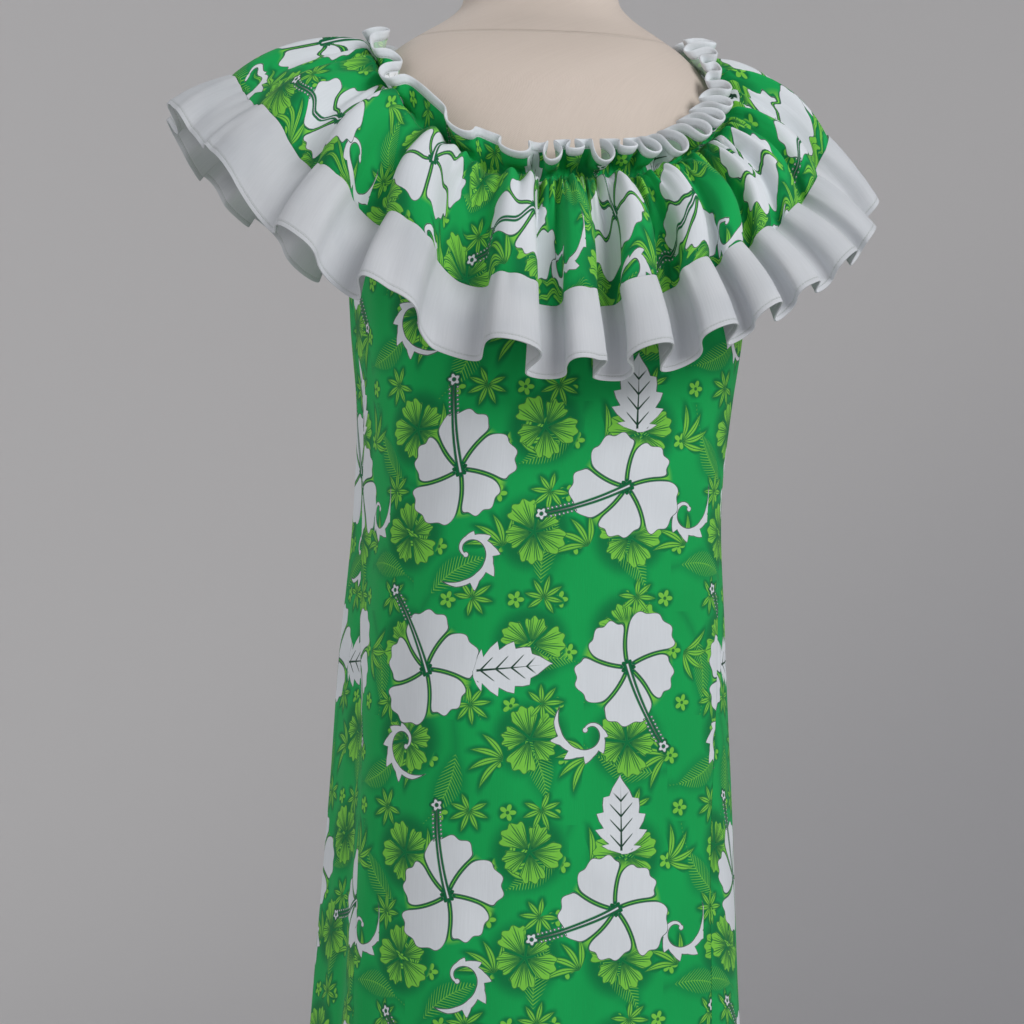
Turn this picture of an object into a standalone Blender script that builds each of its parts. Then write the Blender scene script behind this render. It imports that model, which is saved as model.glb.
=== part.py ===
"""A long printed holoku with a gathered neck flounce, worn by a limbless dress form on a pole and a round base.

Metres, +Z up. The front faces -Y, and the origin is on the floor under the pole.
Angles go round the body in degrees, from the front centre (0) towards the wearer's left side (90).
Each piece of cloth is a closed wall between an inner and an outer surface lofted from sections.
"""

import math

import bmesh
import bpy
import numpy as np

# Cloth and fit
CLOTH = 0.0012
BINDING_CLOTH = 0.0018
SEAM_GAP = 0.0003
BINDING_GAP = 0.0009
FORM_GAP = 0.0001
PANEL_GAP = 0.0018
FORM_GAP_LOWER = 0.005
LAYER_GAP = 0.0004
BLEND = 0.001

# Dress form and stand
FORM_BOTTOM = 0.78
FORM_TOP = 1.475
FORM_SQUARENESS = 2.25
BUST_HEIGHT = 0.016
BUST_ANGLE = 35.0
BUST_SPREAD = 20.0
BUST_Z = 1.155
BUST_TALL = 0.05
CAP_THICKNESS = 0.014
CAP_OVERHANG = 0.003
POLE_RADIUS = 0.014
BASE_RADIUS = 0.175
BASE_EDGE = 0.012
BASE_RISE = 0.024
SOCKET_RADIUS = 0.024
SOCKET_TOP = 0.075

# Height, half width, front depth and back depth of the dress form
FORM_SECTIONS = np.array((
    (0.780, 0.126, 0.092, 0.104),
    (0.860, 0.132, 0.098, 0.118),
    (0.950, 0.127, 0.094, 0.104),
    (1.030, 0.112, 0.086, 0.084),
    (1.100, 0.124, 0.100, 0.088),
    (1.160, 0.137, 0.114, 0.094),
    (1.220, 0.141, 0.112, 0.096),
    (1.290, 0.144, 0.098, 0.094),
    (1.330, 0.141, 0.082, 0.088),
    (1.350, 0.135, 0.072, 0.082),
    (1.365, 0.124, 0.064, 0.076),
    (1.378, 0.109, 0.059, 0.070),
    (1.388, 0.093, 0.056, 0.065),
    (1.398, 0.076, 0.054, 0.061),
    (1.408, 0.064, 0.052, 0.057),
    (1.425, 0.059, 0.0505, 0.055),
    (1.475, 0.0575, 0.050, 0.054),
))

# Body of the gown: height, how far its widest point lies behind the pole, front and back depth from
# the pole, and half width
BODY_SECTIONS = np.array((
    (0.040, 0.116, 0.140, 0.310, 0.200),
    (0.250, 0.106, 0.134, 0.275, 0.184),
    (0.450, 0.096, 0.128, 0.236, 0.169),
    (0.650, 0.085, 0.122, 0.196, 0.156),
    (0.800, 0.070, 0.119, 0.164, 0.149),
    (0.920, 0.062, 0.117, 0.138, 0.1435),
    (1.020, 0.043, 0.119, 0.118, 0.138),
    (1.100, 0.010, 0.124, 0.106, 0.1415),
    (1.160, 0.000, 0.127, 0.104, 0.148),
    (1.220, 0.000, 0.122, 0.102, 0.150),
    (1.300, 0.000, 0.100, 0.096, 0.146),
    (1.365, 0.000, 0.064, 0.076, 0.124),
))
FRONT_SQUARENESS = 3.3
BACK_SQUARENESS = 2.25
SIDE_BEGINS = 74.0
SIDE_ENDS = 102.0

# Long soft folds of the body: angle at the bust and at the hem, height where each begins, how far it
# stands out (or, below zero, sinks in) at the hem, and half its width in degrees
BODY_FOLDS = (
    (-52.0, -62.0, 1.12, 0.008, 8.0),
    (-66.0, -76.0, 1.10, -0.013, 8.0),
    (-96.0, -100.0, 0.95, 0.010, 11.0),
    (-122.0, -120.0, 0.98, -0.022, 9.0),
    (-142.0, -140.0, 1.00, 0.016, 9.0),
    (-163.0, -160.0, 0.98, -0.020, 9.0),
    (-182.0, -180.0, 1.02, 0.014, 9.0),
    (158.0, 160.0, 0.97, -0.022, 9.0),
    (139.0, 140.0, 1.00, 0.017, 9.0),
    (121.0, 121.0, 0.96, -0.019, 9.0),
    (98.0, 102.0, 0.94, 0.009, 11.0),
    (76.0, 79.0, 1.00, -0.009, 8.0),
    (58.0, 60.0, 0.90, 0.006, 9.0),
    (18.0, 22.0, 0.86, -0.005, 10.0),
    (-14.0, -16.0, 0.80, 0.004, 11.0),
)

# Side seams: height, and the angle of the right and of the left seam. The gown hangs slightly turned.
SEAM_LINES = np.array((
    (0.040, -47.0, 27.0),
    (0.640, -54.5, 29.5),
    (0.793, -60.5, 33.0),
    (0.871, -67.5, 37.0),
    (0.949, -74.0, 41.5),
    (1.027, -81.5, 51.0),
    (1.090, -86.0, 60.0),
    (1.205, -88.0, 82.0),
    (1.365, -90.0, 90.0),
))
FRONT_HEM_Z = 0.105
BACK_HEM_Z = 0.050
UNDERARM_Z = 1.205
ARMHOLE_BEGINS = 0.48
ARMHOLE_ENDS = 0.80
BODY_TOP_BELOW_ELASTIC = 0.002
FRONT_COLUMNS = 34
BACK_COLUMNS = 44
BODY_ROWS = (0.0, 0.02, 0.045, 0.07, 0.10, 0.135, 0.175, 0.22, 0.28, 0.35, 0.43, 0.52, 0.62, 0.72, 0.82, 0.91, 1.0)

# Flounce, by angle: height of the neck elastic, then the radius and height of the seam with the white
# ruffle, and the radius and height of the ruffle's hem
FLOUNCE_SECTIONS = np.array((
    (-180.0, 1.330, 0.152, 1.236, 0.182, 1.186),
    (-150.0, 1.334, 0.190, 1.250, 0.228, 1.202),
    (-120.0, 1.352, 0.230, 1.306, 0.274, 1.276),
    (-90.0, 1.362, 0.240, 1.342, 0.284, 1.316),
    (-60.0, 1.316, 0.214, 1.258, 0.250, 1.208),
    (-30.0, 1.268, 0.178, 1.188, 0.203, 1.136),
    (0.0, 1.266, 0.156, 1.174, 0.172, 1.120),
    (30.0, 1.274, 0.176, 1.200, 0.204, 1.148),
    (60.0, 1.316, 0.208, 1.256, 0.252, 1.216),
    (82.0, 1.360, 0.221, 1.312, 0.252, 1.264),
    (104.0, 1.358, 0.211, 1.306, 0.250, 1.272),
    (120.0, 1.346, 0.206, 1.288, 0.246, 1.248),
    (150.0, 1.334, 0.186, 1.248, 0.224, 1.198),
))
FLOUNCE_BULGE = 0.016
RUFFLE_BULGE = 0.003

# Folds of the flounce and ruffle: angle of each ridge and its height at the seam
FLOUNCE_FOLDS = np.array((
    (-164.0, 0.012),
    (-148.0, 0.011),
    (-133.0, 0.010),
    (-119.0, 0.009),
    (-105.0, 0.008),
    (-91.0, 0.006),
    (-75.0, 0.006),
    (-60.0, 0.010),
    (-45.0, 0.014),
    (-21.0, 0.015),
    (-5.0, 0.012),
    (11.0, 0.016),
    (26.0, 0.012),
    (36.0, 0.009),
    (44.0, 0.008),
    (53.0, 0.008),
    (63.0, 0.008),
    (76.0, 0.008),
    (90.0, 0.008),
    (105.0, 0.009),
    (120.0, 0.010),
    (135.0, 0.011),
    (150.0, 0.011),
    (165.0, 0.012),
    (180.0, 0.012),
))
FOLD_LIFT = 0.45
FOLD_OVERHANG = 0.42
FOLD_AT_NECK = 0.05
FOLD_AT_HEM = 1.35

# Frill above the elastic, which flops outwards in loops, and the gathers it presses into the cloth below
HEADER = 0.021
FRILL_AT_ELASTIC = 0.0012
FRILL_SIDEWAYS = 0.0030
FRILL_CURL = 1.7
GATHER_FADES = 0.30
BINDING_HEIGHT = 0.007

# Frill, by angle: how far it leans out from upright in degrees, and how far its loops swing to each side
FRILL_LEANS = np.array((
    (-180.0, 8.0, 18.0),
    (-120.0, 8.0, 22.0),
    (-90.0, 8.0, 24.0),
    (-60.0, 16.0, 26.0),
    (-30.0, 24.0, 32.0),
    (0.0, 28.0, 40.0),
    (30.0, 20.0, 44.0),
    (55.0, 2.0, 37.0),
    (75.0, -8.0, 32.0),
    (100.0, -5.0, 28.0),
    (120.0, 4.0, 22.0),
))

# Loops of the frill counted from the back, by angle
FRILL_LOOPS = np.array((
    (-180.0, 0.0),
    (-110.0, 6.0),
    (-60.0, 9.0),
    (-12.0, 12.0),
    (45.0, 19.0),
    (110.0, 27.0),
    (180.0, 33.0),
))

RING_COLUMNS = 220
FLOUNCE_ROWS = (-1.0, -0.45, 0.0, 0.13, 0.50, 1.0)
RUFFLE_ROWS = (1.0055, 1.5, 2.0)
RING_ROWS = FLOUNCE_ROWS + RUFFLE_ROWS
FORM_COLUMNS = 36
FORM_ROWS = 22

# Colours: red, green, blue, then roughness and metallic
MATERIALS = {
    "printed_cotton": (0.03, 0.36, 0.10, 0.80, 0.0),
    "white_cotton": (0.80, 0.82, 0.83, 0.85, 0.0),
    "linen": (0.72, 0.66, 0.58, 0.90, 0.0),
    "stand_metal": (0.55, 0.55, 0.56, 0.35, 0.9),
}


def spline(table, at):
    """The columns of a table read as smooth curves of its first column."""
    x = table[:, 0]
    at = np.clip(at, x[0], x[-1])
    i = np.clip(np.searchsorted(x, at) - 1, 0, len(x) - 2)
    step = x[i + 1] - x[i]
    t = (at - x[i]) / step
    read = []
    for y in table[:, 1:].T:
        slope = np.gradient(y, x)
        read.append(
            (1 + 2 * t) * (1 - t) ** 2 * y[i]
            + t * (1 - t) ** 2 * step * slope[i]
            + t * t * (3 - 2 * t) * y[i + 1]
            + t * t * (t - 1) * step * slope[i + 1]
        )
    return read


def round_spline(table, angle):
    """The same for a table of angles that closes on itself."""
    turn = np.zeros_like(table[0])
    turn[0] = 360.0
    wrapped = np.vstack((table - turn, table, table + turn))
    return spline(wrapped, (angle + 180.0) % 360.0 - 180.0)


def ease(low, high, at):
    t = np.clip((at - low) / (high - low), 0.0, 1.0)
    return t * t * (3.0 - 2.0 * t)


def superellipse(angle, half_width, depth, squareness):
    turn = np.radians(angle)
    across = (np.abs(np.sin(turn)) / half_width) ** squareness
    along = (np.abs(np.cos(turn)) / depth) ** squareness
    return (across + along) ** (-1.0 / squareness)


def polar(radius, angle, z, centre=0.0):
    turn = np.radians(angle)
    return np.stack(
        (radius * np.sin(turn), centre - radius * np.cos(turn), z + 0.0 * radius), axis=-1
    )


def form_radius(angle, z):
    """Distance from the pole's axis to the dress form's surface."""
    half_width, front, back = spline(FORM_SECTIONS, z)
    depth = np.where(np.cos(np.radians(angle)) > 0, front, back)
    off = (np.abs((angle + 180.0) % 360.0 - 180.0) - BUST_ANGLE) / BUST_SPREAD
    bust = BUST_HEIGHT * np.exp(-(off**2) - ((z - BUST_Z) / BUST_TALL) ** 2)
    return superellipse(angle, half_width, depth, FORM_SQUARENESS) + bust


def pushed_out(points, least):
    """Points moved away from the axis until they are at least least(angle, z) from it."""
    x, y, z = points[..., 0], points[..., 1], points[..., 2]
    radius = np.hypot(x, y)
    limit = least(np.degrees(np.arctan2(x, -y)), z)
    wanted = 0.5 * (radius + limit + np.sqrt((radius - limit) ** 2 + BLEND**2))
    scale = np.where(limit > radius - 4 * BLEND, wanted / radius, 1.0)
    return np.stack((x * scale, y * scale, z), axis=-1)


def covered(angle):
    """One where the front or back panel reaches up to the elastic, none over the armholes."""
    return 1.0 - ease(0.42, 0.72, np.abs(np.sin(np.radians(angle))) ** 3)


def clear_of_form(angle, z):
    gap = FORM_GAP + (PANEL_GAP - FORM_GAP) * covered(angle)
    gap = gap + (FORM_GAP_LOWER - gap) * (1.0 - ease(1.22, 1.30, z))
    return np.where(z < FORM_BOTTOM - 0.01, 0.0, form_radius(angle, z) + gap)


def body_points(angle, z):
    """Inner face of the gown's body, at these angles round its own centre line."""
    centre, front, back, half_width = spline(BODY_SECTIONS, z)
    off_front = np.abs((angle + 180.0) % 360.0 - 180.0)
    side = ease(SIDE_BEGINS, SIDE_ENDS, off_front)
    depth = np.where(off_front < 90.0, front + centre, back - centre)
    squareness = FRONT_SQUARENESS + (BACK_SQUARENESS - FRONT_SQUARENESS) * side
    radius = superellipse(angle, half_width, depth, squareness)
    for top_angle, hem_angle, begins, height, spread in BODY_FOLDS:
        down = np.clip((begins - z) / (begins - BACK_HEM_Z), 0.0, 1.0)
        middle = top_angle + (hem_angle - top_angle) * down
        off = ((angle - middle + 180.0) % 360.0 - 180.0) / spread
        radius = radius + height * down**0.8 * np.exp(-(off**2))
    return pushed_out(polar(radius, angle, z, centre), clear_of_form)


def body_normals(angle, z):
    turn = 0.8
    rise = 0.004
    round_it = body_points(angle + turn, z) - body_points(angle - turn, z)
    return unit(np.cross(round_it, body_points(angle, z + rise) - body_points(angle, z - rise)))


def neck_height(angle):
    return round_spline(FLOUNCE_SECTIONS, angle)[0]


def hem_height(angle):
    back = 0.5 - 0.5 * np.cos(np.radians(angle))
    return FRONT_HEM_Z + (BACK_HEM_Z - FRONT_HEM_Z) * ease(0.25, 1.0, back)


def body_grid(columns, share_of_panel, angle_of):
    """Rows of a panel from its top edge to its hem. angle_of gives the angle for a share and a height."""
    share = share_of_panel(np.linspace(0.0, 1.0, columns + 1))
    top_angle = angle_of(share, np.full_like(share, UNDERARM_Z))
    dropped = ease(ARMHOLE_BEGINS, ARMHOLE_ENDS, np.abs(share))
    top = neck_height(top_angle) - BODY_TOP_BELOW_ELASTIC
    top = top + (UNDERARM_Z - top) * dropped
    inner = []
    outer = []
    for down in BODY_ROWS:
        z = top + (hem_height(top_angle) - top) * down
        angle = angle_of(share, z)
        inner.append(body_points(angle, z))
        outer.append(inner[-1] + CLOTH * body_normals(angle, z))
    return np.array(inner), np.array(outer)


def seam_angles(z):
    """Angles of the right and left seam, drawn in by half the gap on each side."""
    right, left = spline(SEAM_LINES, z)
    gap = np.degrees(0.5 * SEAM_GAP / spline(BODY_SECTIONS, z)[3])
    return right, left, gap


def front_angle(share, z):
    right, left, gap = seam_angles(z)
    middle = 0.5 * (left + right)
    return middle + share * (left - gap - middle)


def back_angle(share, z):
    right, left, gap = seam_angles(z)
    middle = 180.0 + 0.5 * (left + right)
    return middle - share * (middle - left - gap)


def neck_radius(angle, z):
    """Radius at which the flounce's inner face rests on the body, or on the form at the shoulders."""
    return np.linalg.norm(body_points(angle, z)[..., :2], axis=-1) + (CLOTH + LAYER_GAP) * covered(angle)


def flounce_base(angle, along):
    """The flounce with no folds or frill: along is 0 at the elastic, 1 at the ruffle's seam, 2 at its hem."""
    neck_z, seam_r, seam_z, hem_r, hem_z = round_spline(FLOUNCE_SECTIONS, angle)
    neck_r = neck_radius(angle, neck_z)
    t = np.clip(along, 0.0, 1.0)
    u = np.clip(along - 1.0, 0.0, None)
    chord_r, chord_z = seam_r - neck_r, seam_z - neck_z
    length = np.hypot(chord_r, chord_z)
    bulge = 4.0 * t * (1.0 - t) * FLOUNCE_BULGE / length
    hang_r, hang_z = hem_r - seam_r, hem_z - seam_z
    swell = 4.0 * u * (1.0 - u) * RUFFLE_BULGE / np.hypot(hang_r, hang_z)
    radius = neck_r + chord_r * t - chord_z * bulge + hang_r * u - hang_z * swell
    height = neck_z + chord_z * t + chord_r * bulge + hang_z * u + hang_r * swell
    return polar(radius, angle, height)


def unit(vectors):
    return vectors / np.linalg.norm(vectors, axis=-1, keepdims=True)


def fold_phase(angle):
    """Turns through the folds, whole at each ridge."""
    ridges = FLOUNCE_FOLDS[:, 0]
    ends = np.concatenate(([ridges[-1] - 360.0], ridges, [ridges[0] + 360.0]))
    return np.interp((angle + 180.0) % 360.0 - 180.0, ends, np.arange(-1, len(ridges) + 1))


def under_cloth(angle, z):
    """Radius that the flounce keeps outside: the body, and above the elastic the form."""
    body = np.linalg.norm(body_points(angle, z)[..., :2], axis=-1)
    body = body + (CLOTH + LAYER_GAP) * covered(angle)
    above = z > neck_height(angle) + 0.001
    return np.where(above, form_radius(angle, z) + FORM_GAP, body)


def frill_phase(angle):
    """Turns through the loops, in radians. It grows by the whole number of loops in one turn."""
    turned = (angle + 180.0) % 360.0 - 180.0
    return 2.0 * math.pi * spline(FRILL_LOOPS, turned)[0]


def flounce_points(angle, along):
    """Inner face of the frill (along from -1 to 0), the flounce (0 to 1) and the ruffle (1 to 2)."""
    base = flounce_base(angle, along)
    round_it = unit(flounce_base(angle + 0.4, along) - flounce_base(angle - 0.4, along))
    level = np.clip(along, 0.0, None)
    above = np.clip(level - 0.35, 0.0, None)
    down = unit(flounce_base(angle, level + 0.35) - flounce_base(angle, above))
    upward = np.array((0.0, 0.0, 1.0))
    out = unit(np.cross(down, round_it) + FOLD_LIFT * upward)
    turns = 2.0 * math.pi * fold_phase(angle)
    grown = np.interp(along, (-1.0, 0.0, 1.0, 2.0), (0.0, FOLD_AT_NECK, 1.0, FOLD_AT_HEM))
    fold = round_spline(FLOUNCE_FOLDS, angle)[0] * grown
    loops = frill_phase(angle)
    gather = FRILL_AT_ELASTIC * np.clip(1.0 - np.abs(along) / GATHER_FADES, 0.0, 1.0)
    header = np.clip(-along, 0.0, None)
    lean, swing = round_spline(FRILL_LEANS, angle)
    tilt = np.radians((lean + swing * np.cos(loops)) * np.clip(FRILL_CURL * header, 0.0, 1.0))
    frill_out = HEADER * header * np.sin(tilt)
    frill_up = HEADER * header * np.cos(tilt)
    outward = fold * np.cos(turns) + gather * np.cos(loops)
    sideways = FOLD_OVERHANG * fold * np.sin(2.0 * turns) + FRILL_SIDEWAYS * header * np.sin(2.0 * loops)
    flat_out = polar(np.ones_like(angle), angle, 0.0)
    points = base + out * outward[..., None] + round_it * sideways[..., None]
    points = points + flat_out * frill_out[..., None] + upward * frill_up[..., None]
    return pushed_out(points, under_cloth)


def ring_angles(columns):
    """Angles all round, closer together where the frill has more loops."""
    fine = np.linspace(-180.0, 180.0, 721)
    share = 0.5 * (fine + 180.0) / 360.0 + 0.5 * spline(FRILL_LOOPS, fine)[0] / FRILL_LOOPS[-1, 1]
    return np.interp(np.arange(columns) / columns, share, fine)


def ring_wall():
    """Inner and outer grids of the frill, flounce and ruffle, one row for each of RING_ROWS."""
    angle = ring_angles(RING_COLUMNS)
    inner = np.array([flounce_points(angle, np.full_like(angle, along)) for along in RING_ROWS])
    step = unit(inner[1:] - inner[:-1])
    down = np.concatenate((step[:1], step[1:] + step[:-1], step[-1:]))
    round_it = np.roll(inner, -1, axis=1) - np.roll(inner, 1, axis=1)
    normals = unit(np.cross(down, round_it))
    seam = len(FLOUNCE_ROWS)
    normals[seam - 1:seam + 1] = unit(normals[seam - 1] + normals[seam])
    return inner, inner + CLOTH * normals


def binding_wall(inner, outer):
    """The bound edge: it carries on up from the frill's top, and is thicker on both sides."""
    up = unit(inner[0] - inner[1])
    out = unit(outer[0] - inner[0])
    spare = 0.5 * (BINDING_CLOTH - CLOTH)
    low = inner[0] + up * BINDING_GAP - out * spare
    near = pushed_out(np.array([low + up * BINDING_HEIGHT, low]), under_cloth)
    return near, near + (outer[0] - inner[0] + 2.0 * out * spare)


def add_material(obj, name):
    red, green, blue, roughness, metallic = MATERIALS[name]
    material = bpy.data.materials.get(name)
    if material is None:
        material = bpy.data.materials.new(name)
        material.use_nodes = True
        shader = material.node_tree.nodes["Principled BSDF"]
        shader.inputs["Base Color"].default_value = (red, green, blue, 1.0)
        shader.inputs["Roughness"].default_value = roughness
        shader.inputs["Metallic"].default_value = metallic
    obj.data.materials.append(material)


def lofted(name, rows, material, collection):
    """A closed mesh through rings of points, with its end rings filled."""
    bm = bmesh.new()
    made = [[bm.verts.new(point) for point in row] for row in rows.tolist()]
    columns = len(made[0])
    for upper, lower in zip(made, made[1:]):
        for i in range(columns):
            j = (i + 1) % columns
            bm.faces.new((upper[i], lower[i], lower[j], upper[j]))
    bm.faces.new(made[0])
    bm.faces.new(list(reversed(made[-1])))
    return finished(name, bm, material, collection)


def finished(name, bm, material, collection):
    bmesh.ops.recalc_face_normals(bm, faces=bm.faces)
    mesh = bpy.data.meshes.new(name)
    bm.to_mesh(mesh)
    bm.free()
    obj = bpy.data.objects.new(name, mesh)
    collection.objects.link(obj)
    add_material(obj, material)
    return obj


def walled(name, inner, outer, closed, material, collection):
    """A sheet of cloth with thickness, between two grids. closed joins the ends of each row."""
    bm = bmesh.new()
    near = [[bm.verts.new(point) for point in row] for row in inner.tolist()]
    far = [[bm.verts.new(point) for point in row] for row in outer.tolist()]
    strips = [(upper, lower) for grid in (near, far) for upper, lower in zip(grid, grid[1:])]
    strips += [(near[0], far[0]), (near[-1], far[-1])]
    if closed:
        strips = [(one + one[:1], other + other[:1]) for one, other in strips]
    else:
        strips.append(([row[0] for row in near], [row[0] for row in far]))
        strips.append(([row[-1] for row in near], [row[-1] for row in far]))
    for one, other in strips:
        for i in range(len(one) - 1):
            bm.faces.new((one[i], other[i], other[i + 1]))
            bm.faces.new((one[i], other[i + 1], one[i + 1]))
    return finished(name, bm, material, collection)


def turned(name, profile, material, collection, steps=28):
    """A solid of revolution about the pole's axis, from an outline that runs from top to bottom."""
    mesh = bpy.data.meshes.new(name)
    edges = [(i, i + 1) for i in range(len(profile) - 1)]
    mesh.from_pydata([(radius, 0.0, z) for radius, z in profile], edges, [])
    obj = bpy.data.objects.new(name, mesh)
    collection.objects.link(obj)
    screw = obj.modifiers.new("turn", "SCREW")
    screw.steps = steps
    screw.render_steps = steps
    screw.use_merge_vertices = True
    screw.merge_threshold = 0.00001
    add_material(obj, material)
    return obj


def make_form(collection):
    angle = np.linspace(-180.0, 180.0, FORM_COLUMNS, endpoint=False)
    waist_up = np.linspace(FORM_TOP, 1.34, FORM_ROWS // 2, endpoint=False)
    waist_down = np.linspace(1.34, FORM_BOTTOM, FORM_ROWS // 2)
    rings = [
        polar(form_radius(angle, np.full_like(angle, z)), angle, z)
        for z in np.concatenate((waist_up, waist_down))
    ]
    lofted("form_torso", np.array(rings), "linen", collection)
    inner = 0.25
    low = FORM_TOP + SEAM_GAP
    cap = [
        polar(scale * (form_radius(angle, np.full_like(angle, FORM_TOP)) + CAP_OVERHANG), angle, z)
        for scale, z in (
            (inner, low + CAP_THICKNESS),
            (0.80, low + 0.86 * CAP_THICKNESS),
            (1.00, low + 0.45 * CAP_THICKNESS),
            (1.00, low),
        )
    ]
    lofted("form_neck_cap", np.array(cap), "linen", collection)


def make_stand(collection):
    base = (
        (0.0, BASE_RISE),
        (SOCKET_RADIUS + 0.03, BASE_RISE),
        (BASE_RADIUS - 0.02, BASE_EDGE + 0.003),
        (BASE_RADIUS, BASE_EDGE - 0.003),
        (BASE_RADIUS, 0.0),
        (0.0, 0.0),
    )
    turned("stand_base", base, "stand_metal", collection)
    socket_inner = POLE_RADIUS + SEAM_GAP
    socket = (
        (socket_inner, SOCKET_TOP),
        (SOCKET_RADIUS - 0.003, SOCKET_TOP),
        (SOCKET_RADIUS, SOCKET_TOP - 0.004),
        (SOCKET_RADIUS, BASE_RISE + SEAM_GAP),
        (socket_inner, BASE_RISE + SEAM_GAP),
        (socket_inner, SOCKET_TOP),
    )
    turned("stand_socket", socket, "stand_metal", collection)
    pole = (
        (0.0, FORM_BOTTOM - SEAM_GAP),
        (POLE_RADIUS, FORM_BOTTOM - SEAM_GAP),
        (POLE_RADIUS, BASE_RISE + SEAM_GAP),
        (0.0, BASE_RISE + SEAM_GAP),
    )
    turned("stand_pole", pole, "stand_metal", collection)


def make_gown(collection):
    front = body_grid(FRONT_COLUMNS, lambda t: 2.0 * t - 1.0, front_angle)
    walled("front_panel", *front, False, "printed_cotton", collection)
    back = body_grid(BACK_COLUMNS, lambda t: 1.0 - 2.0 * t, back_angle)
    walled("back_panel", *back, False, "printed_cotton", collection)
    inner, outer = ring_wall()
    seam = len(FLOUNCE_ROWS)
    walled("neck_flounce", inner[:seam], outer[:seam], True, "printed_cotton", collection)
    walled("white_ruffle", inner[seam:], outer[seam:], True, "white_cotton", collection)
    walled("neck_binding", *binding_wall(inner, outer), True, "white_cotton", collection)


def main():
    for obj in list(bpy.data.objects):
        bpy.data.objects.remove(obj)
    collection = bpy.data.collections.new("holoku_on_dress_form")
    bpy.context.scene.collection.children.link(collection)
    make_form(collection)
    make_stand(collection)
    make_gown(collection)


main()
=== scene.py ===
"""Looks of the holoku on its dress form: printed cloth, white ruffle, bound frill, linen form and stand.

Metres, +Z up, front towards -Y. The shapes repeat the source's sections and add the fine gathers.
"""

import math

import bmesh
import bpy
import numpy as np
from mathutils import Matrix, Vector


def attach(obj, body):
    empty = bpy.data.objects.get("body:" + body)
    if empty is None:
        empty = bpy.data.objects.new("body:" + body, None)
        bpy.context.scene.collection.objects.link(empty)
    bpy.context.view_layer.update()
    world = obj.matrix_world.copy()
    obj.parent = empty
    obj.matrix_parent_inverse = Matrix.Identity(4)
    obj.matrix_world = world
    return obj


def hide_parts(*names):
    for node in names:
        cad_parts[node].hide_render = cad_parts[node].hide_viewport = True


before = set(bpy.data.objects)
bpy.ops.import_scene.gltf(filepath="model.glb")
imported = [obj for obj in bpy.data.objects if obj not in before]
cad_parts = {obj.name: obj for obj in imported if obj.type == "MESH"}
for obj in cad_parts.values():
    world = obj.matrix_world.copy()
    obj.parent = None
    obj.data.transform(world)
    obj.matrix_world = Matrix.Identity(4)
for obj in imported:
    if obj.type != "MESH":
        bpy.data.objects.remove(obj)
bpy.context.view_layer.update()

TURN = 2.0 * math.pi

# Cloth and fit
CLOTH = 0.0012
BINDING_CLOTH = 0.0018
SEAM_GAP = 0.0003
BINDING_GAP = 0.0009
FORM_GAP = 0.0001
PANEL_GAP = 0.0018
FORM_GAP_LOWER = 0.005
LAYER_GAP = 0.0004
BLEND = 0.001

# Dress form
FORM_BOTTOM = 0.78
FORM_TOP = 1.475
FORM_SQUARENESS = 2.25
BUST_HEIGHT = 0.016
BUST_ANGLE = 35.0
BUST_SPREAD = 20.0
BUST_Z = 1.155
BUST_TALL = 0.05
CAP_THICKNESS = 0.014
CAP_OVERHANG = 0.003

# Height, half width, front depth and back depth of the dress form
FORM_SECTIONS = np.array((
    (0.780, 0.126, 0.092, 0.104),
    (0.860, 0.132, 0.098, 0.118),
    (0.950, 0.127, 0.094, 0.104),
    (1.030, 0.112, 0.086, 0.084),
    (1.100, 0.124, 0.100, 0.088),
    (1.160, 0.137, 0.114, 0.094),
    (1.220, 0.141, 0.112, 0.096),
    (1.290, 0.144, 0.098, 0.094),
    (1.330, 0.141, 0.082, 0.088),
    (1.350, 0.135, 0.072, 0.082),
    (1.365, 0.124, 0.064, 0.076),
    (1.378, 0.109, 0.059, 0.070),
    (1.388, 0.093, 0.056, 0.065),
    (1.398, 0.076, 0.054, 0.061),
    (1.408, 0.064, 0.052, 0.057),
    (1.425, 0.059, 0.0505, 0.055),
    (1.475, 0.0575, 0.050, 0.054),
))

# Body of the gown: height, how far its widest point lies behind the pole, front and back depth from
# the pole, and half width
BODY_SECTIONS = np.array((
    (0.040, 0.116, 0.140, 0.310, 0.200),
    (0.250, 0.106, 0.134, 0.275, 0.184),
    (0.450, 0.096, 0.128, 0.236, 0.169),
    (0.650, 0.085, 0.122, 0.196, 0.156),
    (0.800, 0.070, 0.119, 0.164, 0.149),
    (0.920, 0.062, 0.117, 0.138, 0.1435),
    (1.020, 0.043, 0.119, 0.118, 0.138),
    (1.100, 0.010, 0.124, 0.106, 0.1415),
    (1.160, 0.000, 0.127, 0.104, 0.148),
    (1.220, 0.000, 0.122, 0.102, 0.150),
    (1.300, 0.000, 0.100, 0.096, 0.146),
    (1.365, 0.000, 0.064, 0.076, 0.124),
))
FRONT_SQUARENESS = 3.3
BACK_SQUARENESS = 2.25
SIDE_BEGINS = 74.0
SIDE_ENDS = 102.0

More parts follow.
